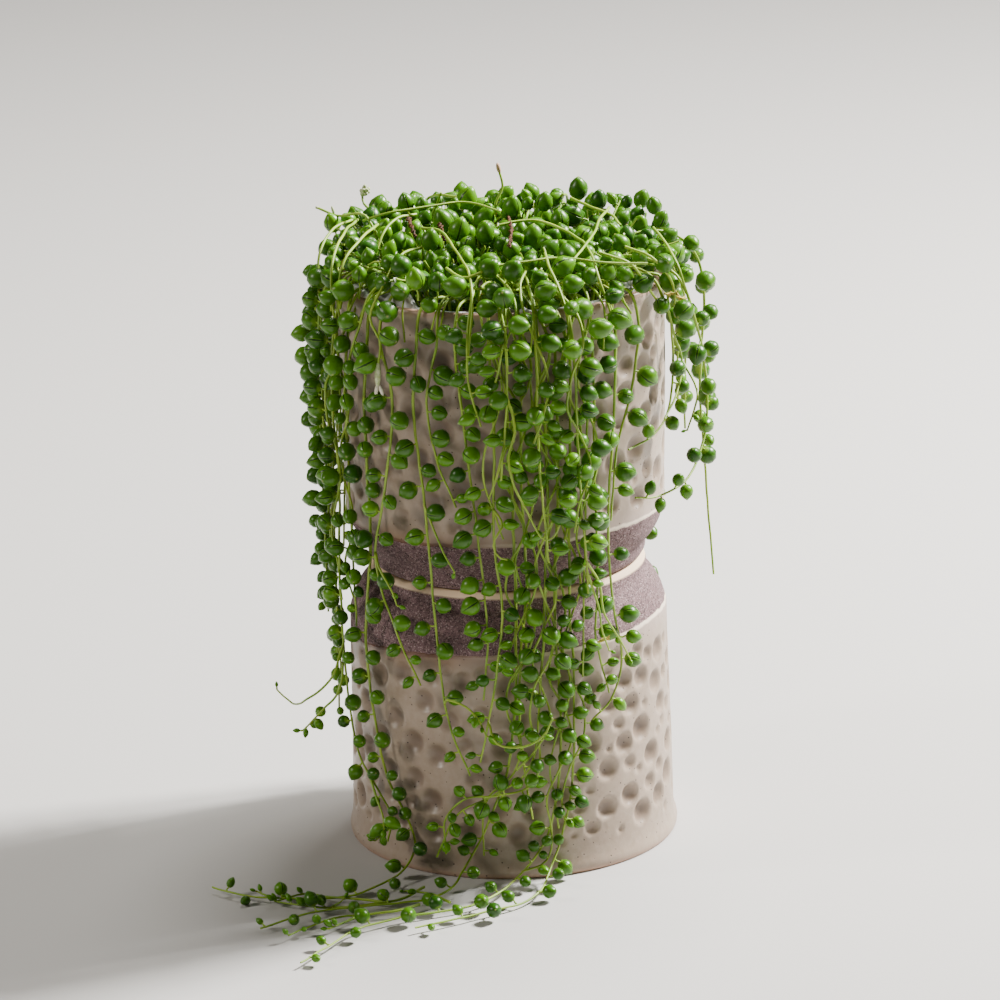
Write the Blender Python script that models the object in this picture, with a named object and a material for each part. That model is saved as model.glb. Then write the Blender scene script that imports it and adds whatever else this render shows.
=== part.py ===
"""A string-of-pearls plant in a stoneware planter, which stands on its upturned twin."""

import math
import random

import bmesh
import bpy
import numpy as np
from mathutils import Matrix, Vector
from mathutils.geometry import interpolate_bezier

# Driving sizes in metres. The planters share the Z axis and the lower one's lip is at z = 0.
GAP = 0.0003

# Planter, upright, heights from its own base.
PLANTER_HEIGHT = 0.112
PLANTER_SIDES = 28
BASE_RECESS = 0.0015
RECESS_RADIUS = 0.044
BASE_RADIUS = 0.052
FOOT_CHAMFER = (0.0536, 0.0022)
FOOT_TOP = (0.0543, 0.0075)
SHOULDER_PULL = (0.0600, 0.0115)
SHOULDER_TOP = (0.0618, 0.0205)
SHOULDER_STEPS = 3
BODY_TOP = (0.0633, 0.103)
LIP_RADIUS = 0.0645
LIP_HEIGHT = 0.1080
LIP_FLAT = (0.0634, 0.0616)
LIP_INSIDE = (0.0602, 0.1100)
INSIDE_LOW = (0.0586, 0.024)
FLOOR_EDGE = (0.0490, 0.0080)

# Thumbed dimples in the wall, in staggered rows.
DIMPLE_ROWS = 6
DIMPLE_BOTTOM = 0.0225
DIMPLE_TOP = 0.1015
DIMPLE_DEPTH = (0.0009, 0.0018)
RIDGE_JITTER = 0.0009
DIMPLE_SEED = 7

# Thin plastic nursery pot, heights from its own base.
NURSERY_SIDES = 20
NURSERY_HEIGHT = 0.102
NURSERY_BASE = 0.040
NURSERY_TOP = 0.0545
NURSERY_LIP = 0.0572
NURSERY_LIP_DEPTH = 0.005
NURSERY_WALL = 0.0010
DRAIN_RADIUS = 0.006
SOIL_DEPTH = 0.0085

# Stems and pearls.
STEM = 0.0008
STEM_TIP = 0.0005
PEARL = (0.0031, 0.0041)
PEARL_STANDOFF = 0.0018
PEARL_SPACING = (0.029, 0.039)
PEARL_CLEAR = 0.0004
PEARL_SIDES = 5
PEARL_RINGS = (-0.45, 0.45)
PEARL_RING_SHARE = 0.95
PEARL_POINT = 1.2
PEARL_TURNS = (75, 45, 105, 20, -45, -75, -105, 135)
PEARL_LEAN = 0.25
YOUNG_SHARE = 0.72
YOUNG_STRETCH = 0.03
NODE_LENGTH = 0.0022
LEAST_FACING = 0.8
PEG_DEPTH = 0.005
STEM_BEND = math.radians(26)
STEM_STRAIGHT = 0.036
HOLE_RADIUS = 0.0017
FLOOR_STEM = 0.0026

UPPER_BASE = PLANTER_HEIGHT + GAP
RIM = UPPER_BASE + PLANTER_HEIGHT
NURSERY_FLOOR = UPPER_BASE + FLOOR_EDGE[1] + GAP
SOIL = NURSERY_FLOOR + NURSERY_HEIGHT - SOIL_DEPTH

# The stems run over the rim on three nested bells, so that those on different bells never
# meet: each bell is the radius of its roots, its height over the rim, and its hanging radius.
CREST_RADIUS = 0.0585
BELLS = ((0.0490, 0.0027, 0.0680), (0.0455, 0.0068, 0.0745), (0.0420, 0.0110, 0.0820))

# A stem's row holds its bell, its root's angle, and the angles in degrees and the heights
# that it passes as it hangs. Angle 0 is the front, and 90 is the side at +X.
LEFT_STEMS = (
    (0, -66, ((-67, 0.212), (-66, 0.187), (-69, 0.165))),
    (0, -57, ((-59, 0.212), (-62, 0.180), (-61, 0.131), (-60, 0.094))),
    (1, -56, ((-62, 0.216), (-67, 0.185), (-64, 0.150), (-66, 0.112), (-64, 0.076),
              (-58, 0.045), (-46, 0.030), (-42, 0.022), (-44, 0.012))),
    (1, -44, ((-49, 0.216), (-55, 0.200), (-60, 0.178))),
    (1, -34, ((-40, 0.216), (-36, 0.190), (-40, 0.155), (-45, 0.126), (-38, 0.100), (-29, 0.079))),
    (0, -22, ((-28, 0.212), (-30, 0.190), (-27, 0.150), (-24, 0.100), (-21, 0.066), (-14, 0.043))),
    (0, -17, ((-21, 0.212), (-25, 0.192), (-22, 0.168), (-16, 0.150))),
    (0, -12, ((-15, 0.212), (-12, 0.172), (-9, 0.135), (-7, 0.100), (-9, 0.074))),
    (1, -70, ((-77, 0.216), (-79, 0.190), (-77, 0.150))),
    (0, -80, ((-80, 0.212), (-78, 0.150), (-80, 0.105), (-77, 0.070))),
    (0, -95, ((-95, 0.212), (-92, 0.150), (-95, 0.100), (-90, 0.048))),
    (1, -90, ((-91, 0.216), (-90, 0.160), (-88, 0.090))),
)
CENTRE_STEMS = (
    (2, -7, ((-9, 0.214), (-9, 0.203), (-6, 0.186))),
    (1, -1, ((-4, 0.216), (-3, 0.180), (-4, 0.140), (-2, 0.110), (-5, 0.080), (-10, 0.050))),
    (0, 4, ((6, 0.212), (5, 0.160), (6, 0.120), (3, 0.085), (3, 0.055), (6, 0.026))),
    (1, 10, ((11, 0.216), (13, 0.160), (11, 0.112), (9, 0.075), (5, 0.047), (-6, 0.037),
             (-18, 0.028), (-25, 0.010))),
    (0, 27, ((30, 0.212), (30, 0.160), (30, 0.112), (29, 0.096), (34, 0.072))),
    (1, 34, ((37, 0.216), (36, 0.185), (33, 0.140), (34, 0.110), (37, 0.085), (33, 0.071),
             (26, 0.064))),
    (0, 44, ((50, 0.212), (46, 0.190), (39, 0.168), (36, 0.140))),
    (2, 3, ((1, 0.214), (1, 0.195), (-1, 0.165))),
    (2, 10, ((9, 0.214), (9, 0.175), (11, 0.132))),
    (2, 19, ((19, 0.214), (20, 0.165), (22, 0.118))),
    (1, 25, ((26, 0.216), (26, 0.170), (24, 0.120), (23, 0.082))),
)
RIGHT_STEMS = (
    (0, 64, ((72, 0.212), (75, 0.190), (68, 0.174), (57, 0.168), (44, 0.166))),
    (1, 56, ((63, 0.216), (68, 0.205), (77, 0.190), (70, 0.181), (60, 0.174))),
    (2, 58, ((64, 0.214), (74, 0.184), (70, 0.164), (59, 0.153), (46, 0.150), (37, 0.152))),
    (2, 97, ((104, 0.214), (108, 0.172), (105, 0.140), (100, 0.112), (95, 0.098))),
    (0, 84, ((86, 0.212), (87, 0.172))),
    (1, 88, ((93, 0.216), (95, 0.158))),
)
# Four stems reach the surface and trail over it, by the X and Y that they pass.
TRAILING_STEMS = (
    (0, -46, ((-48, 0.212), (-51, 0.180), (-50, 0.130), (-54, 0.098), (-53, 0.072), (-46, 0.038),
              (-35, 0.010)), ((-0.060, -0.081), (-0.086, -0.084), (-0.104, -0.080), (-0.116, -0.070))),
    (0, -3, ((0, 0.212), (2, 0.160), (2, 0.090), (-1, 0.050), (-8, 0.026), (-15, 0.009)),
     ((-0.028, -0.084), (-0.050, -0.093), (-0.074, -0.098), (-0.096, -0.114))),
    (0, 15, ((17, 0.212), (17, 0.160), (15, 0.112), (16, 0.060), (13, 0.028), (6, 0.009)),
     ((-0.014, -0.094), (-0.044, -0.107), (-0.060, -0.118), (-0.070, -0.134), (-0.080, -0.149))),
    (0, 21, ((22, 0.212), (21, 0.160), (20, 0.112), (21, 0.080), (19, 0.035), (13, 0.009)),
     ((0.006, -0.090), (-0.016, -0.106), (-0.038, -0.118))),
)

# The far side isn't seen from the front, so its stems follow a seeded rule.
BACK_STEMS = 10
BACK_ANGLES = (128, 244)
BACK_ENDS = (0.022, 0.120)
BACK_DRIFT = 3.0
BACK_SEED = 31

# Flower stalks and a tendril stand above the bed: root, then the points that each passes.
STALKS = (
    ((0.001, 0.041), ((0.000, 0.044, 0.238), (-0.004, 0.045, 0.247), (-0.002, 0.045, 0.254))),
    ((-0.036, 0.021), ((-0.048, 0.030, 0.238), (-0.052, 0.034, 0.244), (-0.053, 0.035, 0.249))),
    ((-0.043, 0.006), ((-0.052, 0.016, 0.236), (-0.062, 0.024, 0.240), (-0.070, 0.030, 0.239))),
)
BUD = 0.0019

# The bed's tufts: a low core that the pearls stand out of, on a short stalk in the soil.
TUFT_RING = 0.0262
TUFTS_AROUND = 6
TUFT_SIDES = 6
TUFT_OUTLINE = ((0.0025, -0.004), (0.0025, 0.001), (0.0112, 0.007), (0.0116, 0.0100), (0.0050, 0.0155))
TUFT_SPIN = math.radians(30)
TUFT_HOLE = 0.0042
TUFT_PEARL = 0.0037
TUFT_NECK = 0.0017
PEARL_SEED = 11


def material(name, colour, roughness):
    """A Principled material in one colour."""
    made = bpy.data.materials.new(name)
    made.use_nodes = True
    shader = made.node_tree.nodes["Principled BSDF"]
    shader.inputs["Base Color"].default_value = (*colour, 1)
    shader.inputs["Roughness"].default_value = roughness
    shader.inputs["Metallic"].default_value = 0.0
    return made


def object_from(bm, name, finish, smooth_angle=None):
    """Closes a bmesh into a named object of the scene."""
    bmesh.ops.recalc_face_normals(bm, faces=bm.faces)
    mesh = bpy.data.meshes.new(name)
    bm.to_mesh(mesh)
    bm.free()
    mesh.materials.append(finish)
    if smooth_angle is not None:
        mesh.shade_smooth()
        mesh.set_sharp_from_angle(angle=math.radians(smooth_angle))
    made = bpy.data.objects.new(name, mesh)
    bpy.context.scene.collection.objects.link(made)
    return made


def turn(bm, outline, sides):
    """Spins an outline of (radius, height) points round the Z axis, and returns its vertices."""
    before = set(bm.verts)
    line = [bm.verts.new((radius, 0, height)) for radius, height in outline]
    edges = [bm.edges.new(pair) for pair in zip(line, line[1:])]
    bmesh.ops.spin(
        bm, geom=line + edges, cent=(0, 0, 0), axis=(0, 0, 1), dvec=(0, 0, 0),
        angle=math.tau, steps=sides, use_merge=True,
    )
    return [vert for vert in bm.verts if vert not in before]


def merge(bm):
    """Joins the poles and the rings that lie on each other."""
    bmesh.ops.remove_doubles(bm, verts=bm.verts, dist=1e-6)


def shoulder():
    """The rounded shoulder's points, from the foot to the body."""
    ends = [Vector((*point, 0)) for point in (FOOT_TOP, SHOULDER_PULL, SHOULDER_TOP)]
    for step in range(SHOULDER_STEPS + 1):
        t = step / SHOULDER_STEPS
        point = ends[0].lerp(ends[1], t).lerp(ends[1].lerp(ends[2], t), t)
        yield point.x, point.y


def body_radius(height):
    """The outer wall's radius before the dimples, which widens evenly up to the lip."""
    share = (height - SHOULDER_TOP[1]) / (BODY_TOP[1] - SHOULDER_TOP[1])
    return SHOULDER_TOP[0] + (BODY_TOP[0] - SHOULDER_TOP[0]) * share


def dimple_depths():
    """How deep the thumb went at each row and column."""
    draw = random.Random(DIMPLE_SEED)
    return {
        (row, column): draw.uniform(*DIMPLE_DEPTH)
        for row in range(DIMPLE_ROWS)
        for column in range(PLANTER_SIDES)
    }


def planter_mesh(finish):
    """One thrown planter: a foot, a shoulder, a dimpled wall, a flared lip and the inside."""
    bm = bmesh.new()
    row_height = (DIMPLE_TOP - DIMPLE_BOTTOM) / DIMPLE_ROWS
    rows = [DIMPLE_BOTTOM + row_height * row for row in range(DIMPLE_ROWS + 1)]
    turn(
        bm,
        [(0, BASE_RECESS), (RECESS_RADIUS, BASE_RECESS), (RECESS_RADIUS + BASE_RECESS, 0),
         (BASE_RADIUS, 0), FOOT_CHAMFER, *shoulder(), (body_radius(rows[0]), rows[0])],
        PLANTER_SIDES,
    )
    turn(
        bm,
        [(body_radius(rows[-1]), rows[-1]), BODY_TOP, (LIP_RADIUS, LIP_HEIGHT),
         (LIP_FLAT[0], PLANTER_HEIGHT), (LIP_FLAT[1], PLANTER_HEIGHT), LIP_INSIDE,
         INSIDE_LOW, FLOOR_EDGE, (0, FLOOR_EDGE[1])],
        PLANTER_SIDES,
    )
    wall = turn(bm, [(body_radius(height), height) for height in rows], PLANTER_SIDES)
    pitch = math.tau / PLANTER_SIDES
    draw = random.Random(DIMPLE_SEED)
    for vert in wall:
        row = round((vert.co.z - DIMPLE_BOTTOM) / row_height)
        twist = row * pitch / 2
        if 0 < row < DIMPLE_ROWS:
            twist += draw.uniform(-RIDGE_JITTER, RIDGE_JITTER) / BODY_TOP[0]
            vert.co.z += draw.uniform(-RIDGE_JITTER, RIDGE_JITTER)
        vert.co = Matrix.Rotation(twist, 3, "Z") @ vert.co
    wall_faces = list({face for vert in wall for face in vert.link_faces})
    wall_faces.sort(key=lambda face: tuple(face.calc_center_median()))
    depths = dimple_depths()
    for vert in bmesh.ops.poke(bm, faces=wall_faces)["verts"]:
        row = math.floor((vert.co.z - DIMPLE_BOTTOM) / row_height)
        column = math.floor(math.atan2(vert.co.y, vert.co.x) / pitch - row / 2) % PLANTER_SIDES
        out = Vector((vert.co.x, vert.co.y, 0)).normalized()
        vert.co -= out * depths[row, column]
    merge(bm)
    made = object_from(bm, "upper_pot", finish, smooth_angle=9)
    made.location.z = UPPER_BASE
    return made


def nursery_radius(height):
    """The nursery pot's outer radius, which widens evenly from its base."""
    return NURSERY_BASE + (NURSERY_TOP - NURSERY_BASE) * height / NURSERY_HEIGHT


def nursery_pot(finish):
    """A thin tapering pot with a turned-out lip and a drain hole."""
    lip_foot = NURSERY_HEIGHT - NURSERY_LIP_DEPTH
    outline = [
        (DRAIN_RADIUS, 0), (NURSERY_BASE, 0),
        (nursery_radius(lip_foot), lip_foot), (NURSERY_LIP, lip_foot),
        (NURSERY_LIP, NURSERY_HEIGHT), (nursery_radius(NURSERY_HEIGHT) - NURSERY_WALL, NURSERY_HEIGHT),
        (NURSERY_BASE - NURSERY_WALL, NURSERY_WALL), (DRAIN_RADIUS, NURSERY_WALL),
        (DRAIN_RADIUS, 0),
    ]
    bm = bmesh.new()
    turn(bm, outline, NURSERY_SIDES)
    merge(bm)
    made = object_from(bm, "nursery_pot", finish)
    made.location.z = NURSERY_FLOOR
    return made


def soil(finish, holes):
    """The soil, with a plain hole for each root."""
    top = SOIL - NURSERY_FLOOR
    side_gap = NURSERY_WALL + 2 * GAP
    bm = bmesh.new()
    turn(
        bm,
        [(0, NURSERY_WALL + GAP), (NURSERY_BASE - side_gap, NURSERY_WALL + GAP),
         (nursery_radius(top) - side_gap, top), (0, top)],
        NURSERY_SIDES,
    )
    merge(bm)
    made = object_from(bm, "soil", finish)
    made.location.z = NURSERY_FLOOR
    cutter = object_from(root_holes(holes), "root_holes", finish)
    cutter.hide_render = True
    cutter.display_type = "WIRE"
    cut = made.modifiers.new("holes", "BOOLEAN")
    cut.operation = "DIFFERENCE"
    cut.object = cutter
    return made


def root_holes(holes):
    """Square prisms for the holes, each from its root's end to above the soil."""
    bm = bmesh.new()
    for x, y, depth, radius in holes:
        top = SOIL + 0.002
        bottom = SOIL - depth - 2 * GAP
        bmesh.ops.create_cone(
            bm, cap_ends=True, segments=4, radius1=radius, radius2=radius, depth=top - bottom,
            matrix=Matrix.Translation((x, y, (top + bottom) / 2)),
        )
    return bm


def round_axis(angle, radius, height):
    """The point at this angle in degrees from the front, radius and height."""
    turned = math.radians(angle)
    return Vector((radius * math.sin(turned), -radius * math.cos(turned), height))


def hanging_knots(bell, root_angle, passes, trail=()):
    """A stem's knots: up from the soil, over the rim, down past each point, and over the surface."""
    root, rise, hang = BELLS[bell]
    first_angle = passes[0][0]
    crest_angle = (root_angle + first_angle) / 2
    rising_angle = root_angle * 0.7 + crest_angle * 0.3
    falling_angle = first_angle * 0.7 + crest_angle * 0.3
    knots = [
        round_axis(root_angle, root, SOIL - PEG_DEPTH),
        round_axis(root_angle, root, SOIL + 0.002),
        round_axis(rising_angle, root + 0.0015 + rise * 0.27, RIM + rise * 0.68),
        round_axis(crest_angle, CREST_RADIUS, RIM + rise + STEM),
        round_axis(falling_angle, hang - 0.0013 - rise / 2, RIM + rise * 0.48),
    ]
    knots += [round_axis(angle, hang, height) for angle, height in passes]
    knots += [Vector((x, y, FLOOR_STEM)) for x, y in trail]
    return knots


def stalk_knots(root, passes):
    """An upright stalk's knots, from the soil to its bud."""
    below = Vector((*root, SOIL - PEG_DEPTH))
    return [below, Vector((*root, SOIL + 0.002)), *(Vector(point) for point in passes)]


def back_rows():
    """The far side's stems, spread evenly with some drift."""
    draw = random.Random(BACK_SEED)
    first, last = BACK_ANGLES
    for index in range(BACK_STEMS):
        angle = first + (last - first) * index / (BACK_STEMS - 1)
        end = draw.uniform(*BACK_ENDS)
        bell = (0, 1, 0, 2)[index % 4]
        drift = [draw.uniform(-BACK_DRIFT, BACK_DRIFT) for _ in range(3)]
        heights = (0.210, (0.210 + end) / 2, end)
        yield bell, angle, tuple((angle + off, height) for off, height in zip(drift, heights))


class Curve:
    """A smooth curve through knots, read by the distance along it."""

    def __init__(self, knots):
        ends = [2 * knots[0] - knots[1], *knots, 2 * knots[-1] - knots[-2]]
        points = []
        for before, start, end, after in zip(ends, ends[1:], ends[2:], ends[3:]):
            reach = (end - start).length / 3
            leave = start + (end - before).normalized() * reach
            arrive = end - (after - start).normalized() * reach
            points += interpolate_bezier(start, leave, arrive, end, 12)[:-1]
        points.append(knots[-1])
        self.points = np.array([tuple(point) for point in points])
        steps = np.linalg.norm(np.diff(self.points, axis=0), axis=1)
        self.distances = np.concatenate([[0], np.cumsum(steps)])
        self.length = self.distances[-1]

    def at(self, distance):
        return Vector([np.interp(distance, self.distances, self.points[:, k]) for k in range(3)])

    def direction(self, distance):
        return (self.at(distance + 0.0005) - self.at(distance - 0.0005)).normalized()


class Room:
    """What the pearls have to stay clear of."""

    def __init__(self, curves):
        self.stems = np.concatenate([curve.points for curve in curves])
        self.centres = np.empty((0, 3))
        self.radii = np.empty(0)

    def add(self, centre, radius):
        self.centres = np.vstack([self.centres, tuple(centre)])
        self.radii = np.append(self.radii, radius)

    def fits(self, centre, radius):
        """Whether a pearl here is clear of the surface, the pots, the stems and the other pearls."""
        reach = radius * 1.08 + PEARL_CLEAR
        out = math.hypot(centre.x, centre.y)
        outside = out > LIP_RADIUS + reach
        over = centre.z > RIM + reach
        within = out < NURSERY_TOP - NURSERY_WALL - reach and centre.z > SOIL + reach
        if centre.z < reach or not (outside or over or within):
            return False
        point = np.array(tuple(centre))
        if (np.linalg.norm(self.stems - point, axis=1) < reach + STEM).any():
            return False
        return not (np.linalg.norm(self.centres - point, axis=1) < reach + self.radii * 1.08).any()


def extrude(bm, face):
    """Raises one face and returns the new cap."""
    return bmesh.ops.extrude_discrete_faces(bm, faces=[face])["faces"][0]


def to_ring(face, centre, axis, radius):
    """Sets a face's corners on an even ring round the axis, without turning them past each other."""
    start = face.verts[0].co - face.calc_center_median()
    side = (start - start.project(axis)).normalized()
    for index, vert in enumerate(face.verts):
        spoke = Matrix.Rotation(math.tau * index / len(face.verts), 3, axis) @ side
        vert.co = centre + spoke * radius


def grow_pearl(bm, face, centre, axis, radius):
    """Draws a face out into a five-sided pearl with a pointed end."""
    while len(face.verts) < PEARL_SIDES:
        longest = max(face.edges, key=lambda edge: edge.calc_length())
        bmesh.utils.edge_split(longest, longest.verts[0], 0.5)
    for along in PEARL_RINGS:
        face = extrude(bm, face)
        to_ring(face, centre + axis * radius * along, axis, radius * PEARL_RING_SHARE)
    tip = bmesh.ops.poke(bm, faces=[face])["verts"][0]
    tip.co = centre + axis * radius * PEARL_POINT


def side_facing(faces, axis):
    """The face that looks most nearly along the axis, and how nearly."""
    best = max(faces, key=lambda face: face.normal.dot(axis))
    return best, best.normal.dot(axis)


def away(point):
    """The direction out of the plant: outwards beside the pots, upwards on the bed and the surface."""
    out = Vector((point.x, point.y, 0)).normalized()
    lift = 1.5 if point.z > RIM or point.z < 0.008 else -0.2
    return (out + Vector((0, 0, lift))).normalized()


def stem_marks(curve, nodes):
    """The distances along a stem where it has a ring: both ends, both sides of each node, between."""
    beside = (node + side * NODE_LENGTH / 2 for node in nodes for side in (-1, 1))
    marks = [0.0, PEG_DEPTH + 0.002, *beside, curve.length]
    filled = []
    for start, end in zip(marks, marks[1:]):
        turned = curve.direction(start + 0.001).angle(curve.direction(end - 0.001), 0)
        parts = max(1, math.ceil(turned / STEM_BEND), math.ceil((end - start) / STEM_STRAIGHT))
        filled += [start + (end - start) * part / parts for part in range(parts)]
    return [*filled, curve.length]


def stem_solid(curve, nodes):
    """A three-sided stem and, for each node, the side faces of its short stretch there."""
    bm = bmesh.new()
    marks = stem_marks(curve, nodes)
    ahead = curve.direction(0.0005)
    side = ahead.orthogonal().normalized()
    bmesh.ops.create_cone(bm, cap_ends=True, segments=3, radius1=STEM, radius2=STEM, depth=STEM)
    caps = sorted((face for face in bm.faces if len(face.verts) == 3), key=lambda face: face.normal.z)
    turned = Matrix((side, ahead.cross(side), ahead)).transposed()
    for cap, mark in zip(caps, marks[:2]):
        for vert in cap.verts:
            flat = Vector((vert.co.x, vert.co.y, 0))
            vert.co = curve.at(mark) + turned @ flat
    cap = caps[1]
    stretches = {}
    for start, end in zip(marks[1:], marks[2:]):
        heading = curve.direction(end)
        bend = ahead.rotation_difference(heading).to_matrix()
        size = STEM + (STEM_TIP - STEM) * end / curve.length
        shape = [bend @ (vert.co - curve.at(start)) for vert in cap.verts]
        cap = extrude(bm, cap)
        for vert, offset in zip(cap.verts, shape):
            vert.co = curve.at(end) + offset.normalized() * size
        ahead = heading
        for node in nodes:
            if start < node < end and end - start < 2 * NODE_LENGTH:
                stretches[node] = [face for edge in cap.edges for face in edge.link_faces if face != cap]
    bm.normal_update()
    return bm, stretches


def pearl_nodes(curve, draw):
    """The distances along a stem where it bears a pearl, the last of them near its tip."""
    node = draw.uniform(0.016, 0.026)
    while node < curve.length - 0.012:
        yield node
        node += draw.uniform(*PEARL_SPACING)
    yield curve.length - 0.004


def strand(name, curve, draw, room, finish):
    """One stem with the pearls that have room on it, drawn out of its sides."""
    nodes = list(pearl_nodes(curve, draw))
    bm, stretches = stem_solid(curve, nodes)
    hand = draw.choice((-1, 1))
    for node in nodes:
        foot = curve.at(node)
        ahead = curve.direction(node)
        out = away(foot)
        out = (out - out.project(ahead)).normalized()
        radius = draw.uniform(*PEARL)
        if node > curve.length - YOUNG_STRETCH:
            radius *= YOUNG_SHARE
        for turn_angle in PEARL_TURNS:
            axis = Matrix.Rotation(math.radians(turn_angle * hand), 3, ahead) @ out
            face, facing = side_facing(stretches[node], axis)
            axis = (axis + ahead * PEARL_LEAN).normalized()
            centre = foot + axis * (radius + PEARL_STANDOFF)
            if facing > LEAST_FACING and room.fits(centre, radius):
                grow_pearl(bm, face, centre, axis, radius)
                room.add(centre, radius)
                break
        hand = -hand
    return object_from(bm, name, finish)


def stalk(name, curve, finish):
    """A thin upright stalk with a bud at its end."""
    bm, _ = stem_solid(curve, [])
    axis = curve.direction(curve.length)
    end = curve.at(curve.length)
    caps = [face for face in bm.faces if len(face.verts) == 3]
    cap = min(caps, key=lambda face: (face.calc_center_median() - end).length)
    grow_pearl(bm, cap, end + axis * BUD, axis, BUD)
    return object_from(bm, name, finish)


def tuft(name, x, y, room, finish):
    """One tuft of the bed: a low core on a short stalk, with a pearl on each upper face."""
    bm = bmesh.new()
    turn(bm, [(0, TUFT_OUTLINE[0][1]), *TUFT_OUTLINE, (0, TUFT_OUTLINE[-1][1])], TUFT_SIDES)
    merge(bm)
    place = Matrix.Translation((x, y, SOIL)) @ Matrix.Rotation(TUFT_SPIN, 4, "Z")
    bmesh.ops.transform(bm, matrix=place, verts=bm.verts)
    bmesh.ops.recalc_face_normals(bm, faces=bm.faces)
    top = SOIL + TUFT_OUTLINE[-1][1]
    middle = SOIL + TUFT_OUTLINE[1][1]
    cap = [face for face in bm.faces if face.calc_center_median().z > top - GAP]
    bmesh.ops.dissolve_faces(bm, faces=cap)
    bm.normal_update()
    upper = [face for face in bm.faces if face.normal.z > 0.5]
    upright = [face for face in bm.faces if abs(face.normal.z) < 0.3]
    outer = [face for face in upright if face.calc_center_median().z > middle]
    for face in upper + outer:
        axis = face.normal.copy()
        centre = face.calc_center_median() + axis * (TUFT_PEARL + PEARL_STANDOFF / 2)
        if room.fits(centre, TUFT_PEARL):
            bmesh.ops.inset_individual(bm, faces=[face], thickness=TUFT_NECK)
            grow_pearl(bm, face, centre, axis, TUFT_PEARL)
            room.add(centre, TUFT_PEARL)
    return object_from(bm, name, finish)


def tuft_places():
    """One tuft in the middle of the bed and a ring of them round it."""
    yield 0.0, 0.0
    for index in range(TUFTS_AROUND):
        point = round_axis(360 * index / TUFTS_AROUND, TUFT_RING, 0)
        yield point.x, point.y


def plant(leaf):
    """All the stems and tufts, and the holes that they need in the soil."""
    rows = [*LEFT_STEMS, *CENTRE_STEMS, *RIGHT_STEMS, *TRAILING_STEMS, *back_rows()]
    curves = [Curve(hanging_knots(*row)) for row in rows]
    stalks = [Curve(stalk_knots(*row)) for row in STALKS]
    room = Room(curves + stalks)
    draw = random.Random(PEARL_SEED)
    made = []
    for index, (x, y) in enumerate(tuft_places(), 1):
        made.append(tuft(f"crown_{index:02}", x, y, room, leaf))
    for index, curve in enumerate(curves, 1):
        made.append(strand(f"strand_{index:02}", curve, draw, room, leaf))
    for index, curve in enumerate(stalks, 1):
        made.append(stalk(f"flower_stalk_{index}", curve, leaf))
    holes = [(x, y, -TUFT_OUTLINE[0][1], TUFT_HOLE) for x, y in tuft_places()]
    holes += [(*curve.at(0).xy, PEG_DEPTH, HOLE_RADIUS) for curve in curves + stalks]
    return made, holes


for old in list(bpy.data.objects):
    bpy.data.objects.remove(old, do_unlink=True)

glaze = material("speckled_glaze", (0.42, 0.36, 0.31), 0.35)
plastic = material("grey_plastic", (0.30, 0.31, 0.31), 0.45)
earth = material("potting_soil", (0.045, 0.030, 0.020), 0.95)
leaf = material("pearl_leaf", (0.10, 0.30, 0.04), 0.35)

upper = planter_mesh(glaze)
lower = bpy.data.objects.new("lower_pot", upper.data)
bpy.context.scene.collection.objects.link(lower)
lower.rotation_euler.x = math.pi
lower.location.z = PLANTER_HEIGHT
greenery, root_places = plant(leaf)
pieces = [upper, lower, nursery_pot(plastic), soil(earth, root_places), *greenery]

# The model's origin is on the surface, at the middle of the footprint that the plant reaches.
reached = np.array([tuple(vert.co.xy) for piece in greenery for vert in piece.data.vertices])
middle = (reached.min(axis=0) + reached.max(axis=0)) / 2
footprint = bpy.data.objects.new("footprint", None)
bpy.context.scene.collection.objects.link(footprint)
footprint.location = (-middle[0], -middle[1], 0)
for piece in [*pieces, bpy.data.objects["root_holes"]]:
    piece.parent = footprint
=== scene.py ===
"""A string-of-pearls plant in a dimpled stoneware planter that stands on its upturned twin."""

import math
import random

import bmesh
import bpy
import numpy as np
from mathutils import Matrix, Vector, noise
from mathutils.geometry import interpolate_bezier


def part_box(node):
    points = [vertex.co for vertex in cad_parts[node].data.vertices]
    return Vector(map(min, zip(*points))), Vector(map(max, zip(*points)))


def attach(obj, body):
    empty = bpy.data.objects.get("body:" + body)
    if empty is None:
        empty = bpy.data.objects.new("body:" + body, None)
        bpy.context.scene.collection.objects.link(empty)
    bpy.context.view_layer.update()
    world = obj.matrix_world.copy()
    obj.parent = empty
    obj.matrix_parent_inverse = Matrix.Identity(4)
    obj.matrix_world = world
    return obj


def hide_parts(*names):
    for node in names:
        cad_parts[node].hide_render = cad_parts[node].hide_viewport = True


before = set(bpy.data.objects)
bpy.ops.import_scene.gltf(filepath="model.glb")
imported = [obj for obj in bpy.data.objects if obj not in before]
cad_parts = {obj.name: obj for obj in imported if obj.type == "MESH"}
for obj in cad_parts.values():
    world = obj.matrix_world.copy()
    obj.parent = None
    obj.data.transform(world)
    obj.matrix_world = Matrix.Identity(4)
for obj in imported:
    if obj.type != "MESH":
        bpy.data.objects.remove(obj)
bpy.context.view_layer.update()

# The two planters are one stoneware shape: a foot, a drawn-in shoulder of bare clay, a straight
# wall pressed all over with a round tool, and a flared lip. They were dipped upside down in a
# beige glaze, which stops at the shoulder. The lower one is turned over to stand on its lip.
stand_low, stand_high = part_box("lower_pot")
AXIS = Vector(((stand_low.x + stand_high.x) / 2, (stand_low.y + stand_high.y) / 2, 0))
PLANTER_HEIGHT = stand_high.z - stand_low.z
UPPER_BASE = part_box("upper_pot")[0].z
RIM = UPPER_BASE + PLANTER_HEIGHT
TURNS_ROUND = 400
WALL_ROW = 0.00080
SHOULDER_TOP = (0.0618, 0.0205)
BODY_TOP = (0.0633, 0.1020)
DIMPLE_BOTTOM = 0.0245
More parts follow.
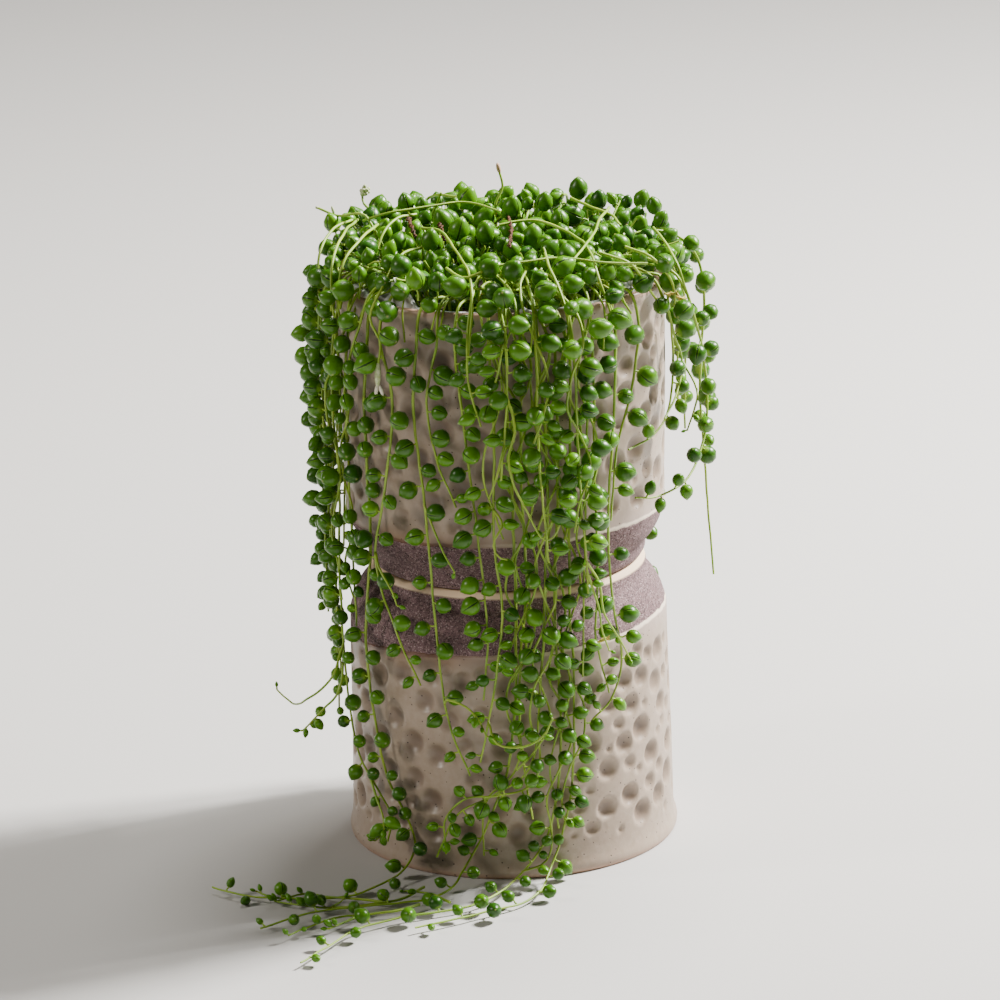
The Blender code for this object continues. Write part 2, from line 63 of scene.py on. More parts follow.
DIMPLE_TOP = 0.1010
DIMPLE_LAND = 0.0008
DIMPLE_STEEPNESS = 0.47
DIMPLE_CURVE = 2.3
# The tools' radii, and how often each is tried at random: it marks only where there is room.
DIMPLE_TOOLS = ((0.0045, 0.0056, 700), (0.0030, 0.0040, 900), (0.0018, 0.0026, 500))
# The wall is pressed outside this radius and between these heights, where it also wanders.
INSIDE_RADIUS = 0.0603
PRESSED_HEIGHTS = (0.0150, 0.1070)
WALL_WANDER = 0.00012
# The wall's two slow waves: how often each goes round, and how fast it turns with the height.
WALL_WAVES = ((3, 70), (7, -110))
# The glaze's edge, as angles in degrees from the front and heights over the planter's own foot.
LOWER_GLAZE_EDGE = ((-180, 0.0232), (-90, 0.0285), (-66, 0.0272), (-46, 0.0246), (-30, 0.0236),
                    (-13, 0.0229), (41, 0.0206), (70, 0.0193), (90, 0.0188), (180, 0.0232))
UPPER_GLAZE_EDGE = ((-180, 0.0195), (-90, 0.0186), (-55, 0.0187), (-13, 0.0203), (35, 0.0216),
                    (60, 0.0214), (90, 0.0205), (180, 0.0195))
# Above the foot, what faces outwards less than this counts as well above the glaze's edge.
FOOT_SIDE = 0.0075
FACING_OUT = 0.05
WELL_GLAZED = 0.05
# Where the lip's crown and the foot's chamfer set in: at what height, over how much height, and outside
# which radius. The chamfer is painted pale cream, partly as lighter clay and partly as a painted
# highlight where it faces up to the light.
LIP_CROWN = (0.1094, 0.0020, 0.0600)
FOOT_CHAMFER = (0.0026, -0.0004, 0.0505)
# The glaze's edge takes a painted highlight between these angles, on the side towards the key light, and
# the highlight comes and goes over this many degrees.
EDGE_HIGHLIGHT = ((-25, 60), (150, -60))


def bend(start, pull, end, steps=6):
    """A round stretch of an outline, from start to end, drawn towards the pull point."""
    first, middle, last = (Vector((*point, 0)) for point in (start, pull, end))
    leave, arrive = first.lerp(middle, 2 / 3), last.lerp(middle, 2 / 3)
    points = interpolate_bezier(first, leave, arrive, last, steps)
    return [(point.x, point.y) for point in points]


def planter_outline():
    """The planter's (radius, height) points, from the middle of its base round to its floor."""
    rows = round((BODY_TOP[1] - SHOULDER_TOP[1]) / WALL_ROW)
    wall = [
        (SHOULDER_TOP[0] + (BODY_TOP[0] - SHOULDER_TOP[0]) * row / rows,
         SHOULDER_TOP[1] + (BODY_TOP[1] - SHOULDER_TOP[1]) * row / rows)
        for row in range(1, rows)
    ]
    return [
        (0, 0.0015), (0.0440, 0.0015), *bend((0.0449, 0.0004), (0.0452, 0), (0.0458, 0), 3),
        *bend((0.0514, 0), (0.0522, 0.0001), (0.0527, 0.0006), 4), (0.0532, 0.0014),
        *bend((0.0536, 0.0021), (0.0539, 0.0026), (0.0539, 0.0034), 4),
        *bend((0.0543, 0.0072), (0.0590, 0.0102), SHOULDER_TOP, 22),
        *wall,
        *bend(BODY_TOP, (0.0636, 0.1060), (0.0643, 0.1082), 7),
        *bend((0.0645, 0.1093), (0.0645, 0.1117), (0.0634, 0.1120), 6),
        *bend((0.0622, 0.1120), (0.0604, 0.1118), (0.0602, 0.1098), 6),
        (0.0598, 0.0900), (0.0592, 0.0560),
        *bend((0.0586, 0.0240), (0.0584, 0.0120), (0.0490, 0.0080), 8), (0, 0.0080),
    ]


def spun(outline, steps):
    """A bmesh turned from an outline of (radius, height) points about the Z axis."""
    bm = bmesh.new()
    line = [bm.verts.new((radius, 0, height)) for radius, height in outline]
    edges = [bm.edges.new(pair) for pair in zip(line, line[1:])]
    bmesh.ops.spin(
        bm, geom=line + edges, cent=(0, 0, 0), axis=(0, 0, 1), dvec=(0, 0, 0),
        angle=math.tau, steps=steps, use_merge=True,
    )
    bmesh.ops.remove_doubles(bm, verts=bm.verts, dist=1e-6)
    bmesh.ops.recalc_face_normals(bm, faces=bm.faces)
    return bm


def piece_from(bm, name, *materials, sharp=None):
    """Closes a bmesh into a smooth-shaded piece of the scene."""
    mesh = bpy.data.meshes.new(name)
    bm.to_mesh(mesh)
    bm.free()
    for material in materials:
        mesh.materials.append(material)
    mesh.shade_smooth()
    if sharp is not None:
        mesh.set_sharp_from_angle(angle=math.radians(sharp))
    piece = bpy.data.objects.new(name, mesh)
    bpy.context.scene.collection.objects.link(piece)
    return piece


def dimple_marks(seed):
    """The marks as rows of angle, height, radius and depth, the widest first."""
    draw = random.Random(seed)
    first = DIMPLE_TOOLS[0][0]
    marks = [(0.0, (DIMPLE_BOTTOM + DIMPLE_TOP) / 2, first, first * DIMPLE_STEEPNESS)]
    for narrowest, widest, tries in DIMPLE_TOOLS:
        for _ in range(tries):
            size = draw.uniform(narrowest, widest)
            turned = draw.uniform(0, math.tau)
            height = draw.uniform(DIMPLE_BOTTOM + size, DIMPLE_TOP - size)
            known = np.array(marks)
            across = np.abs((known[:, 0] - turned + math.pi) % math.tau - math.pi) * BODY_TOP[0]
            if (np.hypot(across, known[:, 1] - height) > known[:, 2] + size + DIMPLE_LAND).all():
                marks.append((turned, height, size, size * DIMPLE_STEEPNESS * draw.uniform(0.85, 1.0)))
    return marks


def mesh_points(mesh):
    """The mesh's points, one in each row."""
    points = np.empty(len(mesh.vertices) * 3)
    mesh.vertices.foreach_get("co", points)
    return points.reshape(-1, 3)


def press_dimples(mesh, marks):
    """Pushes the outer wall in at each mark, and lets it wander a little as a hand-made wall does."""
    points = mesh_points(mesh)
    radius = np.hypot(points[:, 0], points[:, 1])
    low, high = PRESSED_HEIGHTS
    outer = np.flatnonzero((radius > INSIDE_RADIUS) & (points[:, 2] > low) & (points[:, 2] < high))
    turned = np.arctan2(points[outer, 1], points[outer, 0])
    depth = np.zeros(len(outer))
    for angle, height, size, deep in marks:
        across = ((turned - angle + math.pi) % math.tau - math.pi) * radius[outer]
        share = np.hypot(across, points[outer, 2] - height) / size
        depth = np.maximum(depth, deep * np.clip(1 - share**DIMPLE_CURVE, 0, 1))
    wander = sum(np.sin(turned * around + points[outer, 2] * up) for around, up in WALL_WAVES)
    shrink = 1 - (depth + WALL_WANDER * (1 + wander / 2)) / radius[outer]
    points[outer, :2] *= shrink[:, None]
    mesh.vertices.foreach_set("co", points.ravel())
    # The depth is kept on the points for the glaze's darkening in the dimples: partly pooled glaze,
    # partly painted shade.
    pooled_and_shade = np.zeros(len(points), np.float32)
    pooled_and_shade[outer] = depth
    mesh.attributes.new("dimple_depth", "FLOAT", "POINT").data.foreach_set("value", pooled_and_shade)


def onset(values, start, over):
    """How far the values have come from the start over this much, from 0 to 1."""
    return np.clip((values - start) / over, 0, 1)


def mark_glaze(mesh, edge, facing, chamfer_lit):
    """Writes on each point how far it is above the glaze's edge, how much it is of the lip's crown and
    of the foot's chamfer, which is painted pale cream as partly lighter clay and partly painted
    highlight, and how much painted highlight the glaze's edge gets there on the side towards the key
    light."""
    points = mesh_points(mesh)
    height = points[:, 2]
    radius = np.hypot(points[:, 0], points[:, 1])
    turned = np.degrees(np.arctan2(points[:, 0], -points[:, 1] * facing))
    above = height - np.interp(turned, *zip(*edge))
    normals = np.empty(len(mesh.vertices) * 3)
    mesh.vertex_normals.foreach_get("vector", normals)
    outwards = np.sum(normals.reshape(-1, 3)[:, :2] * points[:, :2], axis=1) / np.maximum(radius, 1e-6)
    above[(height > FOOT_SIDE) & (outwards < FACING_OUT)] = WELL_GLAZED
    lip = onset(height, *LIP_CROWN[:2]) * (radius > LIP_CROWN[2])
    foot = onset(height, *FOOT_CHAMFER[:2]) * (radius > FOOT_CHAMFER[2]) * chamfer_lit
    pale = onset(turned, *EDGE_HIGHLIGHT[0]) * onset(turned, *EDGE_HIGHLIGHT[1])
    marks = (("over_glaze_edge", above), ("lip_crown", lip), ("foot_chamfer", foot), ("edge_highlight", pale))
    for name, values in marks:
        data = mesh.attributes.new(name, "FLOAT", "POINT").data
        data.foreach_set("value", values.astype(np.float32))


def node(tree, kind, inputs=None, **settings):
    """Adds a shader node. An input that is given a socket is linked, and one with a value is set."""
    made = tree.nodes.new("ShaderNode" + kind)
    for key, value in settings.items():
        setattr(made, key, value)
    for key, value in (inputs or {}).items():
        if isinstance(value, bpy.types.NodeSocket):
            tree.links.new(value, made.inputs[key])
        else:
            made.inputs[key].default_value = value
    return made


def ramp(tree, value, low, high, smooth=False):
    """The value's way from low to high, as 0 to 1."""
    kind = "SMOOTHSTEP" if smooth else "LINEAR"
    given = {"Value": value, "From Min": low, "From Max": high}
    return node(tree, "MapRange", given, interpolation_type=kind).outputs["Result"]


def sums(tree, operation, first, second=0.5):
    """One step of arithmetic on two values."""
    return node(tree, "Math", {0: first, 1: second}, operation=operation).outputs[0]


def times(tree, first, second):
    """One value times another."""
    return sums(tree, "MULTIPLY", first, second)


def colours(tree, share, first, second):
    """The first colour where the share is 0, and the second where it is 1."""
    first = first if isinstance(first, bpy.types.NodeSocket) else (*first, 1)
    second = second if isinstance(second, bpy.types.NodeSocket) else (*second, 1)
    return node(tree, "Mix", {0: share, 6: first, 7: second}, data_type="RGBA").outputs[2]


def attribute(tree, name, output="Fac"):
    """What the mesh says at this point."""
    return node(tree, "Attribute", attribute_name=name).outputs[output]


def mottle_group():
    """A cloudy value over the surface, from 0 to 1, at a scale per metre."""
    group = bpy.data.node_groups.new("mottle", "ShaderNodeTree")
    for name, default in (("Scale", 60.0), ("Detail", 3.0)):
        socket = group.interface.new_socket(name, in_out="INPUT", socket_type="NodeSocketFloat")
        socket.default_value = default
    group.interface.new_socket("Value", in_out="OUTPUT", socket_type="NodeSocketFloat")
    given = group.nodes.new("NodeGroupInput")
    place = node(group, "TexCoord").outputs["Object"]
    cloud = node(group, "TexNoise", {
        "Vector": place, "Scale": given.outputs["Scale"], "Detail": given.outputs["Detail"],
        "Roughness": 0.55,
    })
    out = group.nodes.new("NodeGroupOutput")
    group.links.new(ramp(group, cloud.outputs["Fac"], 0.28, 0.72), out.inputs["Value"])
    return group


MOTTLE = mottle_group()


def mottle(tree, scale, detail=3.0):
    """The mottle group, placed with its own scale."""
    made = node(tree, "Group", node_tree=MOTTLE)
    made.inputs["Scale"].default_value = scale
    made.inputs["Detail"].default_value = detail
    return made.outputs["Value"]


def new_material(name, **values):
    """A new Principled material, with the values that are the same all over set on its shader."""
    material = bpy.data.materials.new(name)
    material.use_nodes = True
    shader = material.node_tree.nodes["Principled BSDF"]
    for key, value in values.items():
        shader.inputs[key.replace("_", " ")].default_value = value
    return material, material.node_tree, shader


def emboss(tree, shader, height, strength):
    """Gives a finish fine relief: its height in metres, and how strongly it shows."""
    bump = node(tree, "Bump", {"Height": height, "Strength": strength, "Distance": 1.0})
    tree.links.new(bump.outputs[0], shader.inputs["Normal"])


def stoneware():
    """Beige satin glaze with dark iron pins, and coarse purple-brown clay where the glaze stops."""
    material, tree, shader = new_material("glazed_stoneware", IOR=1.5)
    link = tree.links.new
    place = node(tree, "TexCoord").outputs["Object"]
    uneven = times(tree, sums(tree, "SUBTRACT", mottle(tree, 160), 0.5), 0.0009)
    edge = sums(tree, "ADD", attribute(tree, "over_glaze_edge"), uneven)
    glazed = ramp(tree, edge, -0.00012, 0.00018, smooth=True)

    beige = colours(tree, mottle(tree, 38), (0.375, 0.288, 0.218), (0.300, 0.228, 0.168))
    beige = colours(tree, times(tree, mottle(tree, 420, 2.0), 0.35), beige, (0.45, 0.365, 0.295))
    # The glaze is darker the deeper a dimple is: partly glaze pooled in it, partly painted shade in the
    # hollow.
    pooled_and_shade = ramp(tree, attribute(tree, "dimple_depth"), 0.0004, 0.0024)
    beige = colours(tree, times(tree, pooled_and_shade, 0.85), beige, (0.140, 0.095, 0.066))
    # Near its edge the glaze runs thin and amber; on the side towards the key light the amber is painted
    # paler, as a painted highlight.
    near_edge = times(tree, ramp(tree, edge, 0.0085, 0.0006, smooth=True), 0.75)
    amber_and_highlight = colours(tree, attribute(tree, "edge_highlight"), (0.200, 0.115, 0.062), (0.42, 0.32, 0.27))
    beige = colours(tree, near_edge, beige, amber_and_highlight)
    worn = times(tree, attribute(tree, "lip_crown"), 0.80)
    beige = colours(tree, worn, beige, (0.42, 0.255, 0.175))
    pins = node(tree, "TexVoronoi", {"Vector": place, "Scale": 480.0})
    chosen = ramp(tree, node(tree, "SeparateColor", {0: pins.outputs["Color"]}).outputs[0], 0.64, 0.66)
    pin = times(tree, ramp(tree, pins.outputs["Distance"], 0.17, 0.10), chosen)
    beige = colours(tree, pin, beige, (0.030, 0.018, 0.012))

    grit = node(tree, "TexVoronoi", {"Vector": place, "Scale": 2300.0})
    grit_tone = node(tree, "SeparateColor", {0: grit.outputs["Color"]}).outputs[1]
    clay = colours(tree, mottle(tree, 700, 4.0), (0.108, 0.059, 0.062), (0.214, 0.130, 0.135))
    pale_grit = times(tree, ramp(tree, grit_tone, 0.78, 1.0), 0.75)
    clay = colours(tree, pale_grit, clay, (0.44, 0.325, 0.325))
    dark_grit = times(tree, ramp(tree, grit_tone, 0.30, 0.05), 0.9)
    clay = colours(tree, dark_grit, clay, (0.022, 0.012, 0.012))
    # The lower planter's foot chamfer faces up and is painted pale cream: partly lighter clay, partly a
    # painted highlight where it catches the light.
    clay = colours(tree, attribute(tree, "foot_chamfer"), clay, (0.88, 0.66, 0.45))

    # A thin seam along the glaze's edge: dark brown most of the way round, and a painted cream highlight
    # on the side towards the key light.
    seam = times(tree, ramp(tree, edge, 0.0014, 0.0007), ramp(tree, edge, -0.0006, -0.0002))
    both = colours(tree, glazed, clay, beige)
    seam_dark_and_highlight = colours(tree, attribute(tree, "edge_highlight"), (0.110, 0.042, 0.020), (0.90, 0.76, 0.60))
    link(colours(tree, times(tree, seam, 0.85), both, seam_dark_and_highlight), shader.inputs["Base Color"])

    sheen = sums(tree, "ADD", times(tree, mottle(tree, 220), 0.12), 0.34)
    rough = node(tree, "Mix", {0: glazed, 2: 0.86, 3: sheen}).outputs[0]
    link(rough, shader.inputs["Roughness"])
    grain = times(tree, sums(tree, "SUBTRACT", 1.0, glazed), grit_tone)
    height = times(tree, grain, 0.00022)
    height = sums(tree, "ADD", height, times(tree, glazed, 0.00028))
    height = sums(tree, "ADD", height, times(tree, mottle(tree, 330, 2.0), 0.00007))
    height = sums(tree, "SUBTRACT", height, times(tree, pin, 0.00012))
    emboss(tree, shader, height, 0.7)
    return material


STONEWARE = stoneware()


def planter(name, stands_for, seed, edge, facing, chamfer_lit, place):
    """One planter, with its own dimples and glaze edge, put where its CAD node is."""
    piece = piece_from(spun(planter_outline(), TURNS_ROUND), name, STONEWARE, sharp=50)
    mark_glaze(piece.data, edge, facing, chamfer_lit)
    press_dimples(piece.data, dimple_marks(seed))
    piece.data.transform(place)
    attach(piece, "root")
    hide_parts(stands_for)


upturned = Matrix.Translation(AXIS + Vector((0, 0, PLANTER_HEIGHT))) @ Matrix.Rotation(math.pi, 4, "X")
planter("planter_upturned", "lower_pot", 7, LOWER_GLAZE_EDGE, -1, 1.0, upturned)
upright = Matrix.Translation(AXIS + Vector((0, 0, UPPER_BASE)))
planter("planter_upright", "upper_pot", 12, UPPER_GLAZE_EDGE, 1, 0.0, upright)

# The nursery pot is thin grey plastic with a rolled lip, blow-moulded and a little crumpled. It
# is slipped into the upper planter, and its lip shows between the stems.
nursery_low, nursery_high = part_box("nursery_pot")
NURSERY_HEIGHT = nursery_high.z - nursery_low.z
NURSERY_BASE = 0.0398
NURSERY_TOP = 0.0543
NURSERY_WALL = 0.0009
LIP_DEPTH = 0.0050
DRAIN_HOLE = 0.0060
# The lip is crumpled up at these angles from the front, over this half width, and by this much.
CRUMPLES = ((-47, 12, 0.0082), (4, 8, 0.0024), (62, 9, 0.0030))


def nursery_outline():
    """Up the outside, over the rolled lip, down the inside and back to the drain hole."""
    top = NURSERY_HEIGHT
    lip_foot = top - LIP_DEPTH
    slope = (NURSERY_TOP - NURSERY_BASE) / top
    outside = [(NURSERY_BASE + slope * lip_foot * share, lip_foot * share)
               for share in np.linspace(0.03, 1, 12)]
    return [
        (DRAIN_HOLE, 0.0002), (NURSERY_BASE - 0.0012, 0.0002), *outside, (0.0566, lip_foot),
        *bend((0.0571, lip_foot + 0.0006), (0.0573, top), (0.0560, top), 5),
        *bend((0.0549, top), (0.0535, top), (0.0533, top - 0.0016), 5),
        *[(radius - NURSERY_WALL, height) for radius, height in outside[::-1]],
        (NURSERY_BASE - NURSERY_WALL - 0.0012, 0.0011), (DRAIN_HOLE, 0.0011), (DRAIN_HOLE, 0.0002),
    ]


def grey_plastic():
    """Thin grey film with pale creases."""
    material, tree, shader = new_material("grey_plastic", IOR=1.49)
    creases = node(tree, "TexVoronoi", {"Scale": 190.0}, feature="DISTANCE_TO_EDGE")
    tree.links.new(node(tree, "TexCoord").outputs["Object"], creases.inputs["Vector"])
    crease = ramp(tree, creases.outputs["Distance"], 0.12, 0.0)
    colour = colours(tree, mottle(tree, 120), (0.42, 0.435, 0.43), (0.62, 0.63, 0.625))
    tree.links.new(colours(tree, crease, colour, (0.86, 0.87, 0.87)), shader.inputs["Base Color"])
    tree.links.new(sums(tree, "ADD", times(tree, crease, 0.2), 0.36), shader.inputs["Roughness"])
    emboss(tree, shader, times(tree, creases.outputs["Distance"], 0.0022), 0.8)
    return material


def crumple(bm):
    """Lets the film wave a little all round, and crumples the lip up at its worst places."""
    for vert in bm.verts:
        angle = math.atan2(vert.co.y, vert.co.x)
        wave = 0.0003 * math.sin(angle * 5 + 1) + 0.0002 * math.sin(angle * 13)
        inwards = 0.0003 + wave * vert.co.z / NURSERY_HEIGHT
        vert.co.xy *= 1 - inwards / max(vert.co.xy.length, 0.01)
        front = math.degrees(math.atan2(vert.co.x, -vert.co.y))
        for middle, half_width, lift in CRUMPLES:
            near = max(0.0, 1 - ((front - middle) / half_width) ** 2)
            share = near * max(0.0, vert.co.z / NURSERY_HEIGHT * 20 - 19)
            vert.co.z += lift * share * (1 + 0.25 * math.sin(angle * 47))
            vert.co.xy *= 1 + 0.024 * share * math.sin(angle * 53 + vert.co.z * 900)


bm = spun(nursery_outline(), 240)
crumple(bm)
bmesh.ops.translate(bm, verts=bm.verts, vec=AXIS + Vector((0, 0, nursery_low.z)))
nursery = piece_from(bm, "nursery_pot_shell", grey_plastic(), sharp=55)
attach(nursery, "root")
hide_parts("nursery_pot")

# The soil is a dark peat mix with pale grit. It fills the nursery pot to just under its lip,
# and all the stems root in it.
soil_low, soil_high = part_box("soil")
SOIL = soil_high.z
SOIL_LUMPS = 0.0011
SOIL_CLEAR = 0.0006
SOIL_TAPER = 0.0125


def potting_mix():
    """Dark crumbly peat with a few pale grains of perlite and bits of bark."""
    material, tree, shader = new_material("peat_mix", Roughness=0.95)
    place = node(tree, "TexCoord").outputs["Object"]
    grains = node(tree, "TexVoronoi", {"Vector": place, "Scale": 420.0})
    tone = node(tree, "SeparateColor", {0: grains.outputs["Color"]}).outputs[0]
    colour = colours(tree, mottle(tree, 260, 5.0), (0.018, 0.011, 0.007), (0.070, 0.043, 0.026))
    colour = colours(tree, ramp(tree, tone, 0.90, 0.96), colour, (0.55, 0.52, 0.46))
    colour = colours(tree, ramp(tree, tone, 0.16, 0.08), colour, (0.14, 0.080, 0.040))
    tree.links.new(colour, shader.inputs["Base Color"])
    crumbs = times(tree, sums(tree, "ADD", mottle(tree, 300, 5.0), tone), 0.0009)
    emboss(tree, shader, crumbs, 0.9)
    return material


soil_depth = SOIL - soil_low.z
soil_radius = (soil_high.x - soil_low.x) / 2 - SOIL_CLEAR
soil_foot = soil_radius - SOIL_TAPER
top_rings = [(soil_radius * share, soil_depth) for share in np.linspace(0.995, 0.02, 44)]
bm = spun([(0, 0), (soil_foot, 0), (soil_radius, soil_depth - 0.0008), *top_rings, (0, soil_depth)], 128)
for vert in bm.verts:
    if vert.co.z > soil_depth - 0.0001:
        lump = noise.fractal(vert.co * 190, 0.9, 2.1, 4) * SOIL_LUMPS
        vert.co.z += min(lump, SOIL_LUMPS) - SOIL_LUMPS
bmesh.ops.translate(bm, verts=bm.verts, vec=AXIS + Vector((0, 0, soil_low.z)))
bed = piece_from(bm, "soil_bed", potting_mix())
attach(bed, "root")
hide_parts("soil")

# The plant grows as long limp stems. Each leaf is a round bead, a pearl, on a short stalk, with
# a small point at its far end and a dark slit of window tissue along one side.
STEM = 0.00066
STEM_TIP = 0.00040
PEARL_LOW = 0.0027
PEARL_HIGH = 0.0038
PEARL_SPREAD = (0.78, 1.15)
PEARL_CLEAR = 0.00005
PEARL_SPACING = (0.0068, 0.0100)
PEARL_STALK = (0.0006, 0.0020)
PEARL_SIDES = 10
PEARL_RINGS = 6
# A pearl's point starts this far out along its axis, and adds this much to its length.
POINT_FROM = 0.30
POINT_LENGTH = 0.30
# How much room a pearl takes for its radius. It stays outside the planters' lip, over the rim, or
# inside the nursery pot.
PEARL_BULGE = 1.04
LIP_RADIUS = 0.0645
POT_INSIDE = 0.0530
PEG_DEPTH = 0.005
# The turns from the stem's outer side at which a pearl looks for room, in degrees.
PEARL_TRIES = (80, 60, 105, 45, -60, -85, 130, -110, 25, 165)
# Pearls are further apart on a stem that lies on the surface, below this height.
LYING = 0.006
LYING_APART = 1.6
# How much the growth turns upwards on the bed and near the surface, and beside the planters.
LIFT_OPEN = 1.4
LIFT_BESIDE = -0.15
NEAR_SURFACE = 0.008
# How many points a route has for each stretch between two knots.
STRETCH_POINTS = 12
# How far the stems wave, and the waves' seed. Without one, they would differ from run to run.
WAVE = 0.0004
WAVE_SEED = 5
noise.seed_set(WAVE_SEED)


def pearl_skin():
    """Glossy skin, deep to yellow green from pearl to pearl, with the slit, stalk end and point."""
    material, tree, shader = new_material(
        "pearl_skin", Subsurface_Weight=0.12, Subsurface_Radius=(0.5, 1.0, 0.1),
        Subsurface_Scale=0.0020, IOR=1.40,
    )
    place = node(tree, "SeparateXYZ", {0: attribute(tree, "pearl_place", "Vector")}).outputs
    tone = attribute(tree, "tone")
    colour = colours(tree, tone, (0.010, 0.066, 0.0005), (0.110, 0.290, 0.003))
    colour = colours(tree, times(tree, mottle(tree, 330), 0.25), colour, (0.065, 0.200, 0.002))
    side = sums(tree, "ABSOLUTE", place["Y"])
    narrowing = sums(tree, "SUBTRACT", 1.0, times(tree, place["Z"], place["Z"]))
    half_width = sums(tree, "ADD", times(tree, narrowing, 0.080), 0.012)
    across = sums(tree, "DIVIDE", side, half_width)
    facing = ramp(tree, place["X"], -0.05, 0.06)
    slit = times(tree, ramp(tree, across, 1.1, 0.75, smooth=True), facing)
    border = times(tree, ramp(tree, across, 2.6, 1.2, smooth=True), facing)
    colour = colours(tree, times(tree, border, 0.40), colour, (0.170, 0.370, 0.015))
    colour = colours(tree, times(tree, slit, 0.92), colour, (0.004, 0.026, 0.001))
    colour = colours(tree, ramp(tree, place["Z"], -0.80, -0.98), colour, (0.230, 0.400, 0.040))
    colour = colours(tree, ramp(tree, place["Z"], 0.95, 1.0), colour, (0.330, 0.370, 0.100))
    tree.links.new(colour, shader.inputs["Base Color"])
    rough = sums(tree, "ADD", times(tree, mottle(tree, 500), 0.12), 0.27)
    tree.links.new(rough, shader.inputs["Roughness"])
    emboss(tree, shader, times(tree, slit, -0.00018), 0.8)
    return material


def stem_skin():
    """Smooth pale yellow-green skin, a little darker and redder in places."""
    material, tree, shader = new_material("stem_skin", Subsurface_Weight=0.1, Subsurface_Scale=0.0008)
    colour = colours(tree, mottle(tree, 60), (0.150, 0.310, 0.012), (0.350, 0.510, 0.045))
    colour = colours(tree, times(tree, mottle(tree, 25), 0.35), colour, (0.190, 0.240, 0.020))
    tree.links.new(colour, shader.inputs["Base Color"])
    rough = sums(tree, "ADD", times(tree, mottle(tree, 300), 0.2), 0.38)
    tree.links.new(rough, shader.inputs["Roughness"])
    return material


PEARL_SKIN = pearl_skin()
STEM_SKIN = stem_skin()


def clamped(value):
    """The value, kept from 0 to 1."""
    return min(1.0, max(0.0, value))


def scatter(draw, spread):
    """A random step, with this spread along each axis."""
    return Vector([draw.gauss(0, spread) for _ in range(3)])


def square_to(axis, vector):
    """The direction of a vector's part that is square to an axis."""
    return (vector - vector.project(axis)).normalized()


class Route:
    """A smooth line through knots, read by the distance along it."""

    def __init__(self, knots):
        ends = [2 * knots[0] - knots[1], *knots, 2 * knots[-1] - knots[-2]]
        points = []
        for before, start, end, after in zip(ends, ends[1:], ends[2:], ends[3:]):
            reach = (end - start).length / 3
            leave = start + (end - before).normalized() * reach
            arrive = end - (after - start).normalized() * reach
            points += interpolate_bezier(start, leave, arrive, end, STRETCH_POINTS)[:-1]
        points.append(knots[-1])
        self.points = np.array([tuple(point) for point in points])
        steps = np.linalg.norm(np.diff(self.points, axis=0), axis=1)
        self.distances = np.concatenate([[0], np.cumsum(steps)])
        self.length = self.distances[-1]

    def at(self, distance):
        return Vector([np.interp(distance, self.distances, self.points[:, k]) for k in range(3)])

    def direction(self, distance):
        return (self.at(distance + 0.0005) - self.at(distance - 0.0005)).normalized()

    def beside(self, draw, length, gap):
        """A second stem that winds along this one's outer side, from just past the rim."""
        falling = slice(-1, STRETCH_POINTS, -1)
        start = np.interp(RIM - COMPANY_START, self.points[falling, 2], self.distances[falling])
        twist, phase = draw.uniform(*COMPANY_TWIST), draw.uniform(0, math.tau)
        knots = []
        mark = start
        while mark < start + (self.length - start) * length:
            here, ahead = self.at(mark), self.direction(mark)
            out = square_to(ahead, outward(here))
            turned = phase + mark * twist
            opening = gap * min(1.0, (mark - start) / COMPANY_OPENS + 0.35)
            across = ahead.cross(out) * math.sin(turned) * 1.4 + out * (0.4 + 0.3 * math.cos(turned))
            knots.append(here + across * opening)
            mark += COMPANY_STEP
        return Route(knots) if len(knots) > 2 else None


class Room:
    """What a new pearl has to stay clear of: the planters, the surface, the stems and the pearls."""

    def __init__(self):
        self.stems = np.empty((0, 3))
        self.pearls = np.empty((0, 4))

    def add_stem(self, route):
        self.stems = np.vstack([self.stems, route.points])

    def add_pearl(self, centre, radius):
        self.pearls = np.vstack([self.pearls, (*centre, radius)])

    def fits(self, centre, radius):
        reach = radius * PEARL_BULGE + PEARL_CLEAR
        out = (centre - AXIS).xy.length
        outside = out > LIP_RADIUS + reach
        over = centre.z > RIM + reach
        within = out < POT_INSIDE - reach and centre.z > SOIL + reach
        if centre.z < reach or not (outside or over or within):
            return False
        point = np.array(tuple(centre))
        near = np.abs(self.stems[:, 2] - centre.z) < reach + STEM
        if (np.linalg.norm(self.stems[near] - point, axis=1) < reach + STEM * 0.7).any():
            return False
        gaps = np.linalg.norm(self.pearls[:, :3] - point, axis=1) - self.pearls[:, 3] * PEARL_BULGE
        return not (gaps < reach).any()

    def clears(self, route):
        """Whether a thin stem on this route stays out of every pearl so far."""
        gaps = np.linalg.norm(route.points[:, None] - self.pearls[:, :3], axis=2) - self.pearls[:, 3]
        return gaps.min() > STEM * 0.4


def tubes(lines, material_index=0):
    """A bmesh of tubes along lines of points, each with its radius at the start and at the end."""
    data = bpy.data.curves.new("stems", "CURVE")
    data.dimensions = "3D"
    data.bevel_depth = 1.0
    data.bevel_resolution = 1
    data.use_fill_caps = True
    for points, start, end in lines:
        spline = data.splines.new("POLY")
        spline.points.add(len(points) - 1)
        for index, point in enumerate(points):
            spline.points[index].co = (*point, 1)
            spline.points[index].radius = start + (end - start) * index / (len(points) - 1)
    carrier = bpy.data.objects.new("stems", data)
    mesh = bpy.data.meshes.new_from_object(carrier)
    bpy.data.objects.remove(carrier)
    bpy.data.curves.remove(data)
    bm = bmesh.new()
    bm.from_mesh(mesh)
    bpy.data.meshes.remove(mesh)
    for face in bm.faces:
        face.material_index = material_index
    return bm


